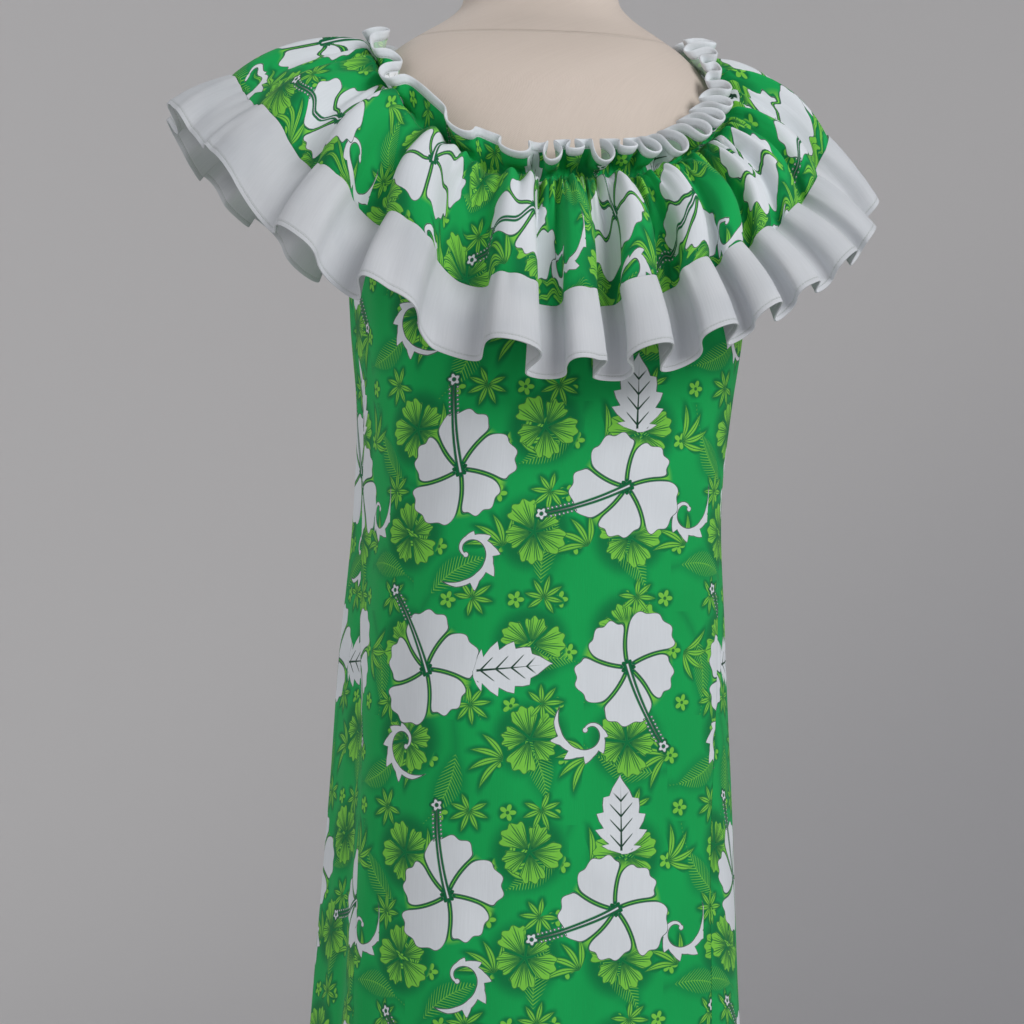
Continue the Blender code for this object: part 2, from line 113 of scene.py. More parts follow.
# Long soft folds of the body: angle at the bust and at the hem, height where each begins, how far it
# stands out (or, below zero, sinks in) at the hem, and half its width in degrees
BODY_FOLDS = (
    (-52.0, -62.0, 1.12, 0.008, 8.0),
    (-66.0, -76.0, 1.10, -0.013, 8.0),
    (-96.0, -100.0, 0.95, 0.010, 11.0),
    (-122.0, -120.0, 0.98, -0.022, 9.0),
    (-142.0, -140.0, 1.00, 0.016, 9.0),
    (-163.0, -160.0, 0.98, -0.020, 9.0),
    (-182.0, -180.0, 1.02, 0.014, 9.0),
    (158.0, 160.0, 0.97, -0.022, 9.0),
    (139.0, 140.0, 1.00, 0.017, 9.0),
    (121.0, 121.0, 0.96, -0.019, 9.0),
    (98.0, 102.0, 0.94, 0.009, 11.0),
    (76.0, 79.0, 1.00, -0.009, 8.0),
    (58.0, 60.0, 0.90, 0.006, 9.0),
    (18.0, 22.0, 0.86, -0.005, 10.0),
    (-14.0, -16.0, 0.80, 0.004, 11.0),
)

# Side seams: height, and the angle of the right and of the left seam. The gown hangs slightly turned.
SEAM_LINES = np.array((
    (0.040, -47.0, 27.0),
    (0.640, -54.5, 29.5),
    (0.793, -60.5, 33.0),
    (0.871, -67.5, 37.0),
    (0.949, -74.0, 41.5),
    (1.027, -81.5, 51.0),
    (1.090, -86.0, 60.0),
    (1.205, -88.0, 82.0),
    (1.365, -90.0, 90.0),
))
FRONT_HEM_Z = 0.105
BACK_HEM_Z = 0.050
UNDERARM_Z = 1.205
ARMHOLE_BEGINS = 0.48
ARMHOLE_ENDS = 0.80
BODY_TOP_BELOW_ELASTIC = 0.002

# Flounce, by angle: height of the neck elastic, then the radius and height of the seam with the white
# ruffle, and the radius and height of the ruffle's hem
FLOUNCE_SECTIONS = np.array((
    (-180.0, 1.330, 0.152, 1.236, 0.182, 1.186),
    (-150.0, 1.334, 0.190, 1.250, 0.228, 1.202),
    (-120.0, 1.352, 0.230, 1.306, 0.274, 1.276),
    (-90.0, 1.362, 0.240, 1.342, 0.284, 1.316),
    (-60.0, 1.316, 0.214, 1.258, 0.250, 1.208),
    (-30.0, 1.268, 0.178, 1.188, 0.203, 1.136),
    (0.0, 1.266, 0.156, 1.174, 0.172, 1.120),
    (30.0, 1.274, 0.176, 1.200, 0.204, 1.148),
    (60.0, 1.316, 0.208, 1.256, 0.252, 1.216),
    (82.0, 1.360, 0.221, 1.312, 0.252, 1.264),
    (104.0, 1.358, 0.211, 1.306, 0.250, 1.272),
    (120.0, 1.346, 0.206, 1.288, 0.246, 1.248),
    (150.0, 1.334, 0.186, 1.248, 0.224, 1.198),
))
FLOUNCE_BULGE = 0.016
RUFFLE_BULGE = 0.003

# Folds of the flounce and ruffle: angle of each ridge and its height at the seam
FLOUNCE_FOLDS = np.array((
    (-164.0, 0.012),
    (-148.0, 0.011),
    (-133.0, 0.010),
    (-119.0, 0.009),
    (-105.0, 0.008),
    (-91.0, 0.006),
    (-75.0, 0.006),
    (-60.0, 0.010),
    (-45.0, 0.014),
    (-21.0, 0.015),
    (-5.0, 0.012),
    (11.0, 0.016),
    (26.0, 0.012),
    (36.0, 0.009),
    (44.0, 0.008),
    (53.0, 0.008),
    (63.0, 0.008),
    (76.0, 0.008),
    (90.0, 0.008),
    (105.0, 0.009),
    (120.0, 0.010),
    (135.0, 0.011),
    (150.0, 0.011),
    (165.0, 0.012),
    (180.0, 0.012),
))
FOLD_LIFT = 0.45
FOLD_OVERHANG = 0.42
FOLD_AT_NECK = 0.05
FOLD_AT_HEM = 1.35

# Frill above the elastic, which flops outwards in loops, and the gathers it presses into the cloth below
HEADER = 0.021
ELASTIC = 0.006
FRILL_AT_ELASTIC = 0.0012
FRILL_SIDEWAYS = 0.0030
FRILL_CURL = 1.7
GATHER_FADES = 0.30
BINDING_HEIGHT = 0.007

# Frill, by angle: how far it leans out from upright in degrees, and how far its loops swing to each side
FRILL_LEANS = np.array((
    (-180.0, 8.0, 18.0),
    (-120.0, 8.0, 22.0),
    (-90.0, 8.0, 24.0),
    (-60.0, 16.0, 26.0),
    (-30.0, 24.0, 32.0),
    (0.0, 28.0, 40.0),
    (30.0, 20.0, 44.0),
    (55.0, 2.0, 37.0),
    (75.0, -8.0, 32.0),
    (100.0, -5.0, 28.0),
    (120.0, 4.0, 22.0),
))

# Loops of the frill counted from the back, by angle
FRILL_LOOPS = np.array((
    (-180.0, 0.0),
    (-110.0, 6.0),
    (-60.0, 9.0),
    (-12.0, 12.0),
    (45.0, 19.0),
    (110.0, 27.0),
    (180.0, 33.0),
))

# Print: one repeat of the cloth, and where its large white motifs lie in their cells
REPEAT_WIDTH = 0.268
REPEAT_HEIGHT = 0.317
EDGE_SOFT = 0.0003
LINE = 0.0005
THIN_LINE = 0.0004
FLOWER_SHIFT = (-0.137, 0.2327)
FLOWER_PLACES_U = ((0.010, 0.003), (-0.010, 0.010))
FLOWER_PLACES_V = ((0.007, 0.020), (-0.002, -0.003))
FLOWER_TURNS = ((-1.87, 2.70), (-1.90, 1.27))
STAMEN_BENDS = ((0.010, 0.009), (-0.013, -0.010))
STAMEN_LENGTH = 0.066
ANTHER_PITCH = 0.0031
FLOWER_REACH = 0.0415
LEAF_LENGTH = 0.060
LEAF_SHIFT = (-0.134, 0.2150)
LEAF_PLACES = ((0.070, -0.0330), (-0.014, 0.0140))
LEAF_TURNS = (-1.60, -0.08)
SCROLL_REACH = 0.030
SCROLL_SHIFT = (-0.125, 0.290)
SCROLL_PLACES_U = ((0.0094, 0.0430), (-0.0425, -0.0323))
SCROLL_PLACES_V = ((0.0110, -0.0180), (-0.0030, -0.0108))
SCROLL_TURNS = ((-0.785, 2.36), (-2.36, 0.785))
SCROLL_HANDS = ((1.0, -1.0), (-1.0, 1.0))
FERN_PITCH = 0.0027
PALE_FLOWER_REACH = 0.0232
SMALL_STAR_REACH = 0.0068

# Pale motifs: how many lie across and down one repeat, how far they are shifted, how much each may move
# along and across the cloth, and which of the scatters moves it along, moves it across and turns it
PALE_CELLS = {
    "fern": (4, 4, 0.040, 0.030, 0.0, 0.020, 0, 1, 2),
    "pointed leaves": (4, 4, 0.012, 0.020, 0.016, 0.0, 5, 0, 3),
    "pale flower": (3, 4, 0.030, 0.010, 0.030, 0.014, 1, 4, 7),
    "leaf star": (4, 4, 0.047, 0.058, 0.018, 0.0, 1, 0, 2),
    "small star": (6, 8, 0.0, 0.0, 0.018, 0.0, 8, 0, 0),
}

# Edge of the white leaf: place along it, and half its width as a share of its length
LEAF_EDGE = (
    (0.00, 0.02), (0.06, 0.19), (0.11, 0.27), (0.125, 0.17), (0.22, 0.28), (0.31, 0.35), (0.325, 0.24),
    (0.42, 0.30), (0.51, 0.33), (0.525, 0.24), (0.62, 0.25), (0.71, 0.24), (0.725, 0.16), (0.82, 0.12),
    (0.92, 0.05), (1.00, 0.00),
)

# Curled leaf in polar form: place round it, and its inner and outer edge as shares of its reach
SCROLL_INNER = (
    (0.00, 0.06), (0.10, 0.12), (0.25, 0.22), (0.45, 0.30), (0.60, 0.36), (0.72, 0.43), (0.82, 0.54),
    (0.90, 0.70), (0.96, 0.88), (1.00, 1.02),
)
SCROLL_OUTER = (
    (0.00, 0.17), (0.10, 0.24), (0.22, 0.34), (0.33, 0.42), (0.40, 0.54), (0.415, 0.45), (0.47, 0.54),
    (0.52, 0.66), (0.535, 0.52), (0.59, 0.62), (0.64, 0.78), (0.655, 0.60), (0.70, 0.68), (0.75, 0.90),
    (0.765, 0.68), (0.82, 0.80), (0.85, 1.02), (0.865, 0.80), (0.93, 0.96), (1.00, 1.03),
)

# Rows of machine stitches: distance from the edge, and length of a stitch
SKIRT_HEM = 0.025
CASING_ROW = 0.0035
RUFFLE_HEM = 0.0035
BINDING_ROW = 0.0012
STITCH = 0.0026
FINE_STITCH = 0.0024
FORM_STITCH = 0.0022

# Fine sheets of cloth
THREAD = 0.00045
LINEN_THREAD = 0.0006
COTTON_RELIEF = 0.00022
LINEN_RELIEF = 0.0003
METAL_RELIEF = 0.00008
SHEET_CLOTH = 0.0008
HEM_CLOTH = 0.0012
RIPPLE = 0.0006
DEEPEST_RIPPLE = 0.0009
RIPPLE_BEGINS = 0.03
SEAM_DIP = 0.0008
SEAM_DIP_WIDTH = 0.006
BODY_SHEET_ROWS = 170
FRONT_SHEET_COLUMNS = 130
BACK_SHEET_COLUMNS = 170
RING_SHEET_COLUMNS = 1140
FRILL_SHEET_ROWS = 9
CASING_GATHER = 0.0019
CASING_FADES = 0.13
CREASE_DEPTH = 0.0105
MID_FOLD = 0.55
FINE_CREASE = 0.0042
FINE_FADES = 0.38
TUCKS = 120.0
TUCK_DEPTH = 0.0020
TUCK_FADES = 0.45
FLUTE_DEPTH = 0.0040
FLOUNCE_PRINT_SHIFT = np.array((-0.020, -0.046))
BINDING_SIDES = 10
NORMAL_REACH = 6
FORM_SHEET_COLUMNS = 160
NECK_SEAM_Z = 1.383
PRINT_TOP = 1.365
PRINT_ANGLE = -12.0

# Colours, linear
GREEN = (0.006, 0.395, 0.092)
TEAL = (0.002, 0.150, 0.048)
LIME = (0.225, 0.660, 0.072)
WHITE = (0.760, 0.800, 0.840)
RUFFLE_WHITE = (0.640, 0.660, 0.690)
RUFFLE_SHADE = (0.590, 0.615, 0.650)
INK = (0.014, 0.060, 0.034)
SEWING = (0.42, 0.50, 0.42)
LINEN = (0.735, 0.635, 0.560)
LINEN_SHADE = (0.650, 0.555, 0.485)
STEEL = (0.56, 0.56, 0.57)
STUDIO = (0.800, 0.785, 0.785)
# Painted shade of the backdrop, mixed in towards its lower right
STUDIO_PAINTED_SHADE = (0.560, 0.555, 0.575)

# Studio and camera
ROOM_RADIUS = 5.2
ROOM_CURVE = 1.6
ROOM_HEIGHT = 3.4
ROOM_STEPS = 96
WORLD_LIGHT = 0.25
WORLD_COLOUR = (0.95, 0.97, 1.0, 1.0)
CAMERA_AZIMUTH = -15.0
CAMERA_FAR = 2.3
SENSOR_WIDTH = 36.0
CAMERA_Z = 1.0176
FOCAL_PIXELS = 2948.7
FRAME_PIXELS = 1024.0
SHIFT_PIXELS = 29.0

# Square lamps: name, place, the point each looks at, side and power in watts
LAMPS = (
    ("key", (1.6, -2.4, 2.9), (0.0, 0.0, 1.0), 1.8, 70.0),
    ("fill", (-2.6, -2.2, 1.9), (0.0, 0.0, 1.0), 2.2, 16.0),
    ("wall", (-2.4, 1.2, 2.9), (0.6, 4.0, 1.2), 1.6, 24.0),
)


def spline(table, at):
    """The columns of a table read as smooth curves of its first column."""
    x = table[:, 0]
    at = np.clip(at, x[0], x[-1])
    i = np.clip(np.searchsorted(x, at) - 1, 0, len(x) - 2)
    step = x[i + 1] - x[i]
    t = (at - x[i]) / step
    read = []
    for y in table[:, 1:].T:
        slope = np.gradient(y, x)
        read.append(
            (1 + 2 * t) * (1 - t) ** 2 * y[i]
            + t * (1 - t) ** 2 * step * slope[i]
            + t * t * (3 - 2 * t) * y[i + 1]
            + t * t * (t - 1) * step * slope[i + 1]
        )
    return read


def round_spline(table, angle):
    """The same for a table of angles that closes on itself."""
    turn = np.zeros_like(table[0])
    turn[0] = 360.0
    return spline(np.vstack((table - turn, table, table + turn)), wrapped(angle))


def wrapped(angle):
    """The same angle between -180 and 180 degrees."""
    return (angle + 180.0) % 360.0 - 180.0


def ease(low, high, at):
    t = np.clip((at - low) / (high - low), 0.0, 1.0)
    return t * t * (3.0 - 2.0 * t)


def superellipse(angle, half_width, depth, squareness):
    turn = np.radians(angle)
    across = (np.abs(np.sin(turn)) / half_width) ** squareness
    along = (np.abs(np.cos(turn)) / depth) ** squareness
    return (across + along) ** (-1.0 / squareness)


def polar(radius, angle, z, centre=0.0):
    turn = np.radians(angle)
    return np.stack(
        (radius * np.sin(turn), centre - radius * np.cos(turn), z + 0.0 * radius), axis=-1
    )


def form_radius(angle, z):
    """Distance from the pole's axis to the dress form's surface."""
    half_width, front, back = spline(FORM_SECTIONS, z)
    depth = np.where(np.cos(np.radians(angle)) > 0, front, back)
    off = (np.abs(wrapped(angle)) - BUST_ANGLE) / BUST_SPREAD
    bust = BUST_HEIGHT * np.exp(-(off**2) - ((z - BUST_Z) / BUST_TALL) ** 2)
    return superellipse(angle, half_width, depth, FORM_SQUARENESS) + bust


def pushed_out(points, least):
    """Points moved away from the axis until they are at least least(angle, z) from it."""
    x, y, z = points[..., 0], points[..., 1], points[..., 2]
    radius = np.hypot(x, y)
    limit = least(np.degrees(np.arctan2(x, -y)), z)
    wanted = 0.5 * (radius + limit + np.sqrt((radius - limit) ** 2 + BLEND**2))
    scale = np.where(limit > radius - 4 * BLEND, wanted / radius, 1.0)
    return np.stack((x * scale, y * scale, z), axis=-1)


def covered(angle):
    """One where the front or back panel reaches up to the elastic, none over the armholes."""
    return 1.0 - ease(0.42, 0.72, np.abs(np.sin(np.radians(angle))) ** 3)


def clear_of_form(angle, z):
    gap = FORM_GAP + (PANEL_GAP - FORM_GAP) * covered(angle)
    gap = gap + (FORM_GAP_LOWER - gap) * (1.0 - ease(1.22, 1.30, z))
    return np.where(z < FORM_BOTTOM - 0.01, 0.0, form_radius(angle, z) + gap)


def body_points(angle, z):
    """Inner face of the gown's body, at these angles round its own centre line."""
    centre, front, back, half_width = spline(BODY_SECTIONS, z)
    off_front = np.abs(wrapped(angle))
    side = ease(SIDE_BEGINS, SIDE_ENDS, off_front)
    depth = np.where(off_front < 90.0, front + centre, back - centre)
    squareness = FRONT_SQUARENESS + (BACK_SQUARENESS - FRONT_SQUARENESS) * side
    radius = superellipse(angle, half_width, depth, squareness)
    for top_angle, hem_angle, begins, height, spread in BODY_FOLDS:
        down = np.clip((begins - z) / (begins - BACK_HEM_Z), 0.0, 1.0)
        middle = top_angle + (hem_angle - top_angle) * down
        off = wrapped(angle - middle) / spread
        radius = radius + height * down**0.8 * np.exp(-(off**2))
    return pushed_out(polar(radius, angle, z, centre), clear_of_form)


def body_normals(angle, z):
    turn = 0.8
    rise = 0.004
    round_it = body_points(angle + turn, z) - body_points(angle - turn, z)
    return unit(np.cross(round_it, body_points(angle, z + rise) - body_points(angle, z - rise)))


def neck_height(angle):
    return round_spline(FLOUNCE_SECTIONS, angle)[0]


def hem_height(angle):
    back = 0.5 - 0.5 * np.cos(np.radians(angle))
    return FRONT_HEM_Z + (BACK_HEM_Z - FRONT_HEM_Z) * ease(0.25, 1.0, back)


def seam_angles(z):
    """Angles of the right and left seam, drawn in by half the gap on each side."""
    right, left = spline(SEAM_LINES, z)
    gap = np.degrees(0.5 * SEAM_GAP / spline(BODY_SECTIONS, z)[3])
    return right, left, gap


def front_angle(share, z):
    right, left, gap = seam_angles(z)
    middle = 0.5 * (left + right)
    return middle + share * (left - gap - middle)


def back_angle(share, z):
    right, left, gap = seam_angles(z)
    middle = 180.0 + 0.5 * (left + right)
    return middle - share * (middle - left - gap)


def neck_radius(angle, z):
    """Radius at which the flounce's inner face rests on the body, or on the form at the shoulders."""
    return np.linalg.norm(body_points(angle, z)[..., :2], axis=-1) + (CLOTH + LAYER_GAP) * covered(angle)


def flounce_base(angle, along):
    """The flounce with no folds or frill: along is 0 at the elastic, 1 at the seam, 2 at the hem."""
    neck_z, seam_r, seam_z, hem_r, hem_z = round_spline(FLOUNCE_SECTIONS, angle)
    neck_r = neck_radius(angle, neck_z)
    t = np.clip(along, 0.0, 1.0)
    u = np.clip(along - 1.0, 0.0, None)
    chord_r, chord_z = seam_r - neck_r, seam_z - neck_z
    length = np.hypot(chord_r, chord_z)
    bulge = 4.0 * t * (1.0 - t) * FLOUNCE_BULGE / length
    hang_r, hang_z = hem_r - seam_r, hem_z - seam_z
    swell = 4.0 * u * (1.0 - u) * RUFFLE_BULGE / np.hypot(hang_r, hang_z)
    radius = neck_r + chord_r * t - chord_z * bulge + hang_r * u - hang_z * swell
    height = neck_z + chord_z * t + chord_r * bulge + hang_z * u + hang_r * swell
    return polar(radius, angle, height)


def unit(vectors):
    return vectors / np.linalg.norm(vectors, axis=-1, keepdims=True)


def fold_phase(angle):
    """Turns through the folds, whole at each ridge."""
    ridges = FLOUNCE_FOLDS[:, 0]
    ends = np.concatenate(([ridges[-1] - 360.0], ridges, [ridges[0] + 360.0]))
    return np.interp(wrapped(angle), ends, np.arange(-1, len(ridges) + 1))


def under_cloth(angle, z):
    """Radius that the flounce keeps outside: the body, and above the elastic the form."""
    body = neck_radius(angle, z)
    above = ease(0.0, ELASTIC, z - neck_height(angle))
    return body + (form_radius(angle, z) + FORM_GAP - body) * above


def frill_phase(angle):
    """Turns through the loops, in radians. It grows by the whole number of loops in one turn."""
    turned = wrapped(angle)
    turn = np.radians(turned)
    uneven = 1.1 * np.sin(5.0 * turn + 1.0) + 0.7 * np.sin(13.0 * turn + 2.0)
    return TURN * spline(FRILL_LOOPS, turned)[0] + uneven


def mid_fold(along):
    """How much deeper the folds are half way down the flounce than on a straight slope."""
    down = np.clip(along, 0.0, 1.0)
    return MID_FOLD * 4.0 * down * (1.0 - down) * ease(0.0, 0.3, down)


def loop_size(angle):
    """Makes some loops of the frill smaller than others, and those in front on the right fuller."""
    turn = np.radians(angle)
    fuller = 0.30 * np.exp(-(((angle + 45.0) / 35.0) ** 2))
    return 0.68 + 0.32 * np.sin(11.0 * turn + 2.4 * np.sin(4.0 * turn)) + fuller


def flounce_points(angle, along):
    """Inner face of the frill (along from -1 to 0), the flounce (0 to 1) and the ruffle (1 to 2)."""
    base = flounce_base(angle, along)
    round_it = unit(flounce_base(angle + 0.4, along) - flounce_base(angle - 0.4, along))
    level = np.clip(along, 0.0, None)
    above = np.clip(level - 0.35, 0.0, None)
    down = unit(flounce_base(angle, level + 0.35) - flounce_base(angle, above))
    upward = np.array((0.0, 0.0, 1.0))
    out = unit(np.cross(down, round_it) + FOLD_LIFT * upward)
    turns = TURN * fold_phase(angle)
    grown = np.interp(along, (-1.0, 0.0, 1.0, 2.0), (0.0, FOLD_AT_NECK, 1.0, FOLD_AT_HEM))
    ridge = round_spline(FLOUNCE_FOLDS, angle)[0]
    fold = ridge * (grown + mid_fold(along))
    loops = frill_phase(angle)
    gather = FRILL_AT_ELASTIC * np.clip(1.0 - np.abs(along) / GATHER_FADES, 0.0, 1.0)
    header = np.clip(-along, 0.0, None)
    lean, swing = round_spline(FRILL_LEANS, angle)
    swing = swing * loop_size(angle)
    tilt = np.radians((lean + swing * np.cos(loops)) * np.clip(FRILL_CURL * header, 0.0, 1.0))
    frill_out = HEADER * header * np.sin(tilt)
    frill_up = HEADER * header * np.cos(tilt)
    outward = fold * np.cos(turns) + gather * np.cos(loops) + fine_gathers(angle, along)
    sideways = FOLD_OVERHANG * ridge * grown * np.sin(2.0 * turns)
    sideways = sideways + FRILL_SIDEWAYS * header * np.sin(2.0 * loops)
    flat_out = polar(np.ones_like(angle), angle, 0.0)
    points = base + out * outward[..., None] + round_it * sideways[..., None]
    points = points + flat_out * frill_out[..., None] + upward * frill_up[..., None]
    return pushed_out(points, under_cloth)


def joined(tree, operation, *values):
    """A Math node on these fields and numbers."""
    node = tree.nodes.new("ShaderNodeMath")
    node.operation = operation
    for socket, value in zip(node.inputs, values):
        if isinstance(value, Field):
            tree.links.new(value.socket, socket)
        else:
            socket.default_value = value
    return Field(tree, node.outputs[0])


class Field:
    """A number that changes over the cloth. A product waits, so that adding to it takes one node in all."""

    def __init__(self, tree, out=None, product=None):
        self.tree = tree
        self.out = out
        self.product = product

    @property
    def socket(self):
        if self.out is None:
            self.out = joined(self.tree, "MULTIPLY", *self.product).out
        return self.out

    def op(self, operation, *others):
        return joined(self.tree, operation, self, *others)

    def __add__(self, other):
        if self.product:
            return joined(self.tree, "MULTIPLY_ADD", *self.product, other)
        if isinstance(other, Field) and other.product:
            return joined(self.tree, "MULTIPLY_ADD", *other.product, self)
        return self.op("ADD", other)

    def __radd__(self, other):
        return self + other

    def __sub__(self, other):
        return self.op("SUBTRACT", other)

    def __rsub__(self, other):
        return joined(self.tree, "SUBTRACT", other, self)

    def __mul__(self, other):
        return Field(self.tree, product=(self, other))

    def __rmul__(self, other):
        return self * other


def node_of(operation):
    """A function that puts its numbers through one kind of Math node."""
    return lambda first, *others: first.op(operation, *others)


fract = node_of("FRACT")
floor = node_of("FLOOR")
wrap = node_of("FLOORED_MODULO")
sin = node_of("SINE")
cos = node_of("COSINE")
absolute = node_of("ABSOLUTE")
sign = node_of("SIGN")
maximum = node_of("MAXIMUM")
minimum = node_of("MINIMUM")
smallest = node_of("SMOOTH_MIN")
arctan2 = node_of("ARCTAN2")


def length(a, b):
    pair = a.tree.nodes.new("ShaderNodeCombineXYZ")
    a.tree.links.new(a.socket, pair.inputs[0])
    a.tree.links.new(b.socket, pair.inputs[1])
    node = a.tree.nodes.new("ShaderNodeVectorMath")
    node.operation = "LENGTH"
    a.tree.links.new(pair.outputs[0], node.inputs[0])
    return Field(a.tree, node.outputs["Value"])


def smooth(low, high, a):
    """Rises smoothly from 0 where a is low to 1 where a is high."""
    node = a.tree.nodes.new("ShaderNodeMapRange")
    node.interpolation_type = "SMOOTHSTEP"
    a.tree.links.new(a.socket, node.inputs["Value"])
    node.inputs["From Min"].default_value = low
    node.inputs["From Max"].default_value = high
    return Field(a.tree, node.outputs[0])


def shaped(a, points):
    """Reads a curve that runs straight from each of its points to the next."""
    node = a.tree.nodes.new("ShaderNodeFloatCurve")
    curve = node.mapping.curves[0]
    node.mapping.use_clip = False
    for x, y in points[1:-1]:
        curve.points.new(x, y)
    for point, (x, y) in zip(curve.points, points):
        point.location = (x, y)
        point.handle_type = "VECTOR"
    node.mapping.update()
    a.tree.links.new(a.socket, node.inputs["Value"])
    return Field(a.tree, node.outputs[0])


def cells(u, v, across, down, shift_u, shift_v):
    """Splits the repeat into across by down cells. Gives the place in the cell and the cell's numbers."""
    a = u * (across / REPEAT_WIDTH) + (-shift_u * across / REPEAT_WIDTH)
    b = v * (down / REPEAT_HEIGHT) + (-shift_v * down / REPEAT_HEIGHT)
    x = fract(a) * (REPEAT_WIDTH / across) + (-0.5 * REPEAT_WIDTH / across)
    y = fract(b) * (REPEAT_HEIGHT / down) + (-0.5 * REPEAT_HEIGHT / down)
    return x, y, wrap(floor(a), across), wrap(floor(b), down)


def pick(i, j, table):
    """One of four values: the table's row for j, and in it the value for i."""
    (a, b), (c, d) = table
    return j * (i * (d - c - b + a) + (c - a)) + (i * (b - a) + a)


def scatter(i, j, number):
    """A fixed value from 0 to 1 for each cell that looks as if it had no order."""
    return fract(i * (0.6180 + 0.1321 * number) + (j * (0.7548 + 0.2237 * number) + 0.5698 * number))


def rotated(x, y, turn):
    c = cos(turn)
    s = sin(turn)
    return x * c + y * s, y * c - x * s


def motif_place(u, v, name):
    """The place in a pale motif's own axes, which are moved and turned from cell to cell."""
    across, down, shift_u, shift_v, move_x, move_y, order_x, order_y, order_turn = PALE_CELLS[name]
    x, y, i, j = cells(u, v, across, down, shift_u, shift_v)
    if move_x:
        x = scatter(i, j, order_x) * move_x + (x - 0.5 * move_x)
    if move_y:
        y = scatter(i, j, order_y) * move_y + (y - 0.5 * move_y)
    return rotated(x, y, scatter(i, j, order_turn) * TURN) if order_turn else (x, y)


def band(inside, width):
    """The filled part of a shape and the line along its edge, from the distance inside it."""
    filled = smooth(0.0, EDGE_SOFT, inside)
    return filled, filled - smooth(width, width + EDGE_SOFT, inside)


def petals(x, y, count, reach, gap, twist, lobe, uneven):
    """A flower seen from above. Gives the distance inside its petals, the radius and the way round."""
    r = length(x, y)
    way = arctan2(y, x)
    part = (r * twist + way) * (count / TURN) + 10.5
    k = wrap(floor(part), count)
    off = fract(part) * (TURN / count) + (-0.5 * TURN / count)
    size = sin(k * 2.4 + 0.6) * (uneven * reach) + reach
    edge = cos(off * 19.0 + k) * lobe + (size - off * off * (0.45 * reach))
    side = r * (absolute(off) * -1.0 + math.pi / count) + (-gap)
    return smallest(edge - r, side, 0.22 * reach), r, way


def white_flower(x, y):
    """Petals, line, the coloured gaps between the petals, and the knot at the centre."""
    inside, r, way = petals(x, y, 5, FLOWER_REACH, 0.0012, -8.0, 0.0012, 0.11)
    filled, line = band(inside, LINE)
    throat = smooth(0.038, 0.031, r) * (1.0 - filled)
    streak = smooth(-0.0006, -0.0011, inside) * throat * smooth(0.005, 0.007, r)
    knot = smooth(0.0, 0.0004, cos(way * 5.0) * 0.0012 - r + 0.0050)
    return maximum(filled, knot), line, throat, streak, knot


def stamen(x, y, bend):
    """A tapered stem that curves off to one side, with two rows of anthers and a star at its tip."""
    t = x * (1.0 / STAMEN_LENGTH)
    off = y - t * t * bend
    aside = absolute(off)
    along = minimum(x + 0.003, STAMEN_LENGTH - 0.002 - x)
    stem = minimum(t * -0.0008 + (0.0013 - aside), along)
    place = fract(x * (1.0 / ANTHER_PITCH)) * ANTHER_PITCH + (-0.5 * ANTHER_PITCH)
    row = length(place, aside + (-0.0031))
    beads = minimum(0.0012 - row, minimum(x - 0.62 * STAMEN_LENGTH, STAMEN_LENGTH * 0.96 - x))
    tip_x = x - (STAMEN_LENGTH + 0.0005)
    tip_y = y - bend * 1.02
    tip_r = length(tip_x, tip_y)
    tip = cos(arctan2(tip_y, tip_x) * 5.0) * 0.0008 + (0.0041 - tip_r)
    inside = maximum(maximum(stem, beads), minimum(tip, tip_r - 0.0010))
    filled, line = band(inside, LINE)
    halo = smooth(-0.0019, -0.0009, maximum(stem, tip))
    return filled, line, halo


def white_leaf(x, y):
    """A broad leaf with hooked edges and a few veins. It points along +x."""
    t = x * (1.0 / LEAF_LENGTH)
    aside = absolute(y)
    width = shaped(sign(y) * 0.018 + t, LEAF_EDGE) * LEAF_LENGTH
    inside = minimum(width - aside, minimum(x, LEAF_LENGTH - x) * 1.5)
    filled, line = band(inside, LINE)
    rib = smooth(0.0012, 0.0008, t * 0.0012 + aside)
    slant = absolute(fract(aside * -95.0 + x * 87.0) - 0.5)
    reach = smooth(0.0095, 0.0080, aside) * smooth(0.80, 0.72, t)
    vein = smooth(0.10, 0.05, aside * 5.0 + slant * 0.8)
    return filled, line, maximum(rib * smooth(0.88, 0.84, t), vein * reach) * smooth(0.04, 0.06, t)


def scroll(x, y):
    """A leaf that curls in at one end, with pointed lobes on its outer side."""
    r = length(x, y) * (1.0 / SCROLL_REACH)
    way = arctan2(y, x) * (1.0 / TURN) + 0.5
    inside = minimum(shaped(way, SCROLL_OUTER) - r, r - shaped(way, SCROLL_INNER)) * (0.8 * SCROLL_REACH)
    curl = 0.0024 - length(x + 0.0036, y + 0.0003)
    return band(maximum(inside, curl), LINE)


def lime_flower(x, y, reach):
    """Petals with a dark eye and fine lines that run out from it."""
    inside, r, way = petals(x, y, 5, reach, 0.0009, 3.0, 0.0012, 0.12)
    filled, line = band(inside, LINE)
    out = r * (1.0 / reach)
    hatch = smooth(-0.1, 0.5, cos(way * 60.0) + (out * -3.0 + (sin(way * 15.0) * 0.7 + 1.95)))
    eye = smooth(0.58, 0.10, out)
    return filled, maximum(maximum(line, hatch * 0.85), eye), smooth(1.50, 0.90, out)


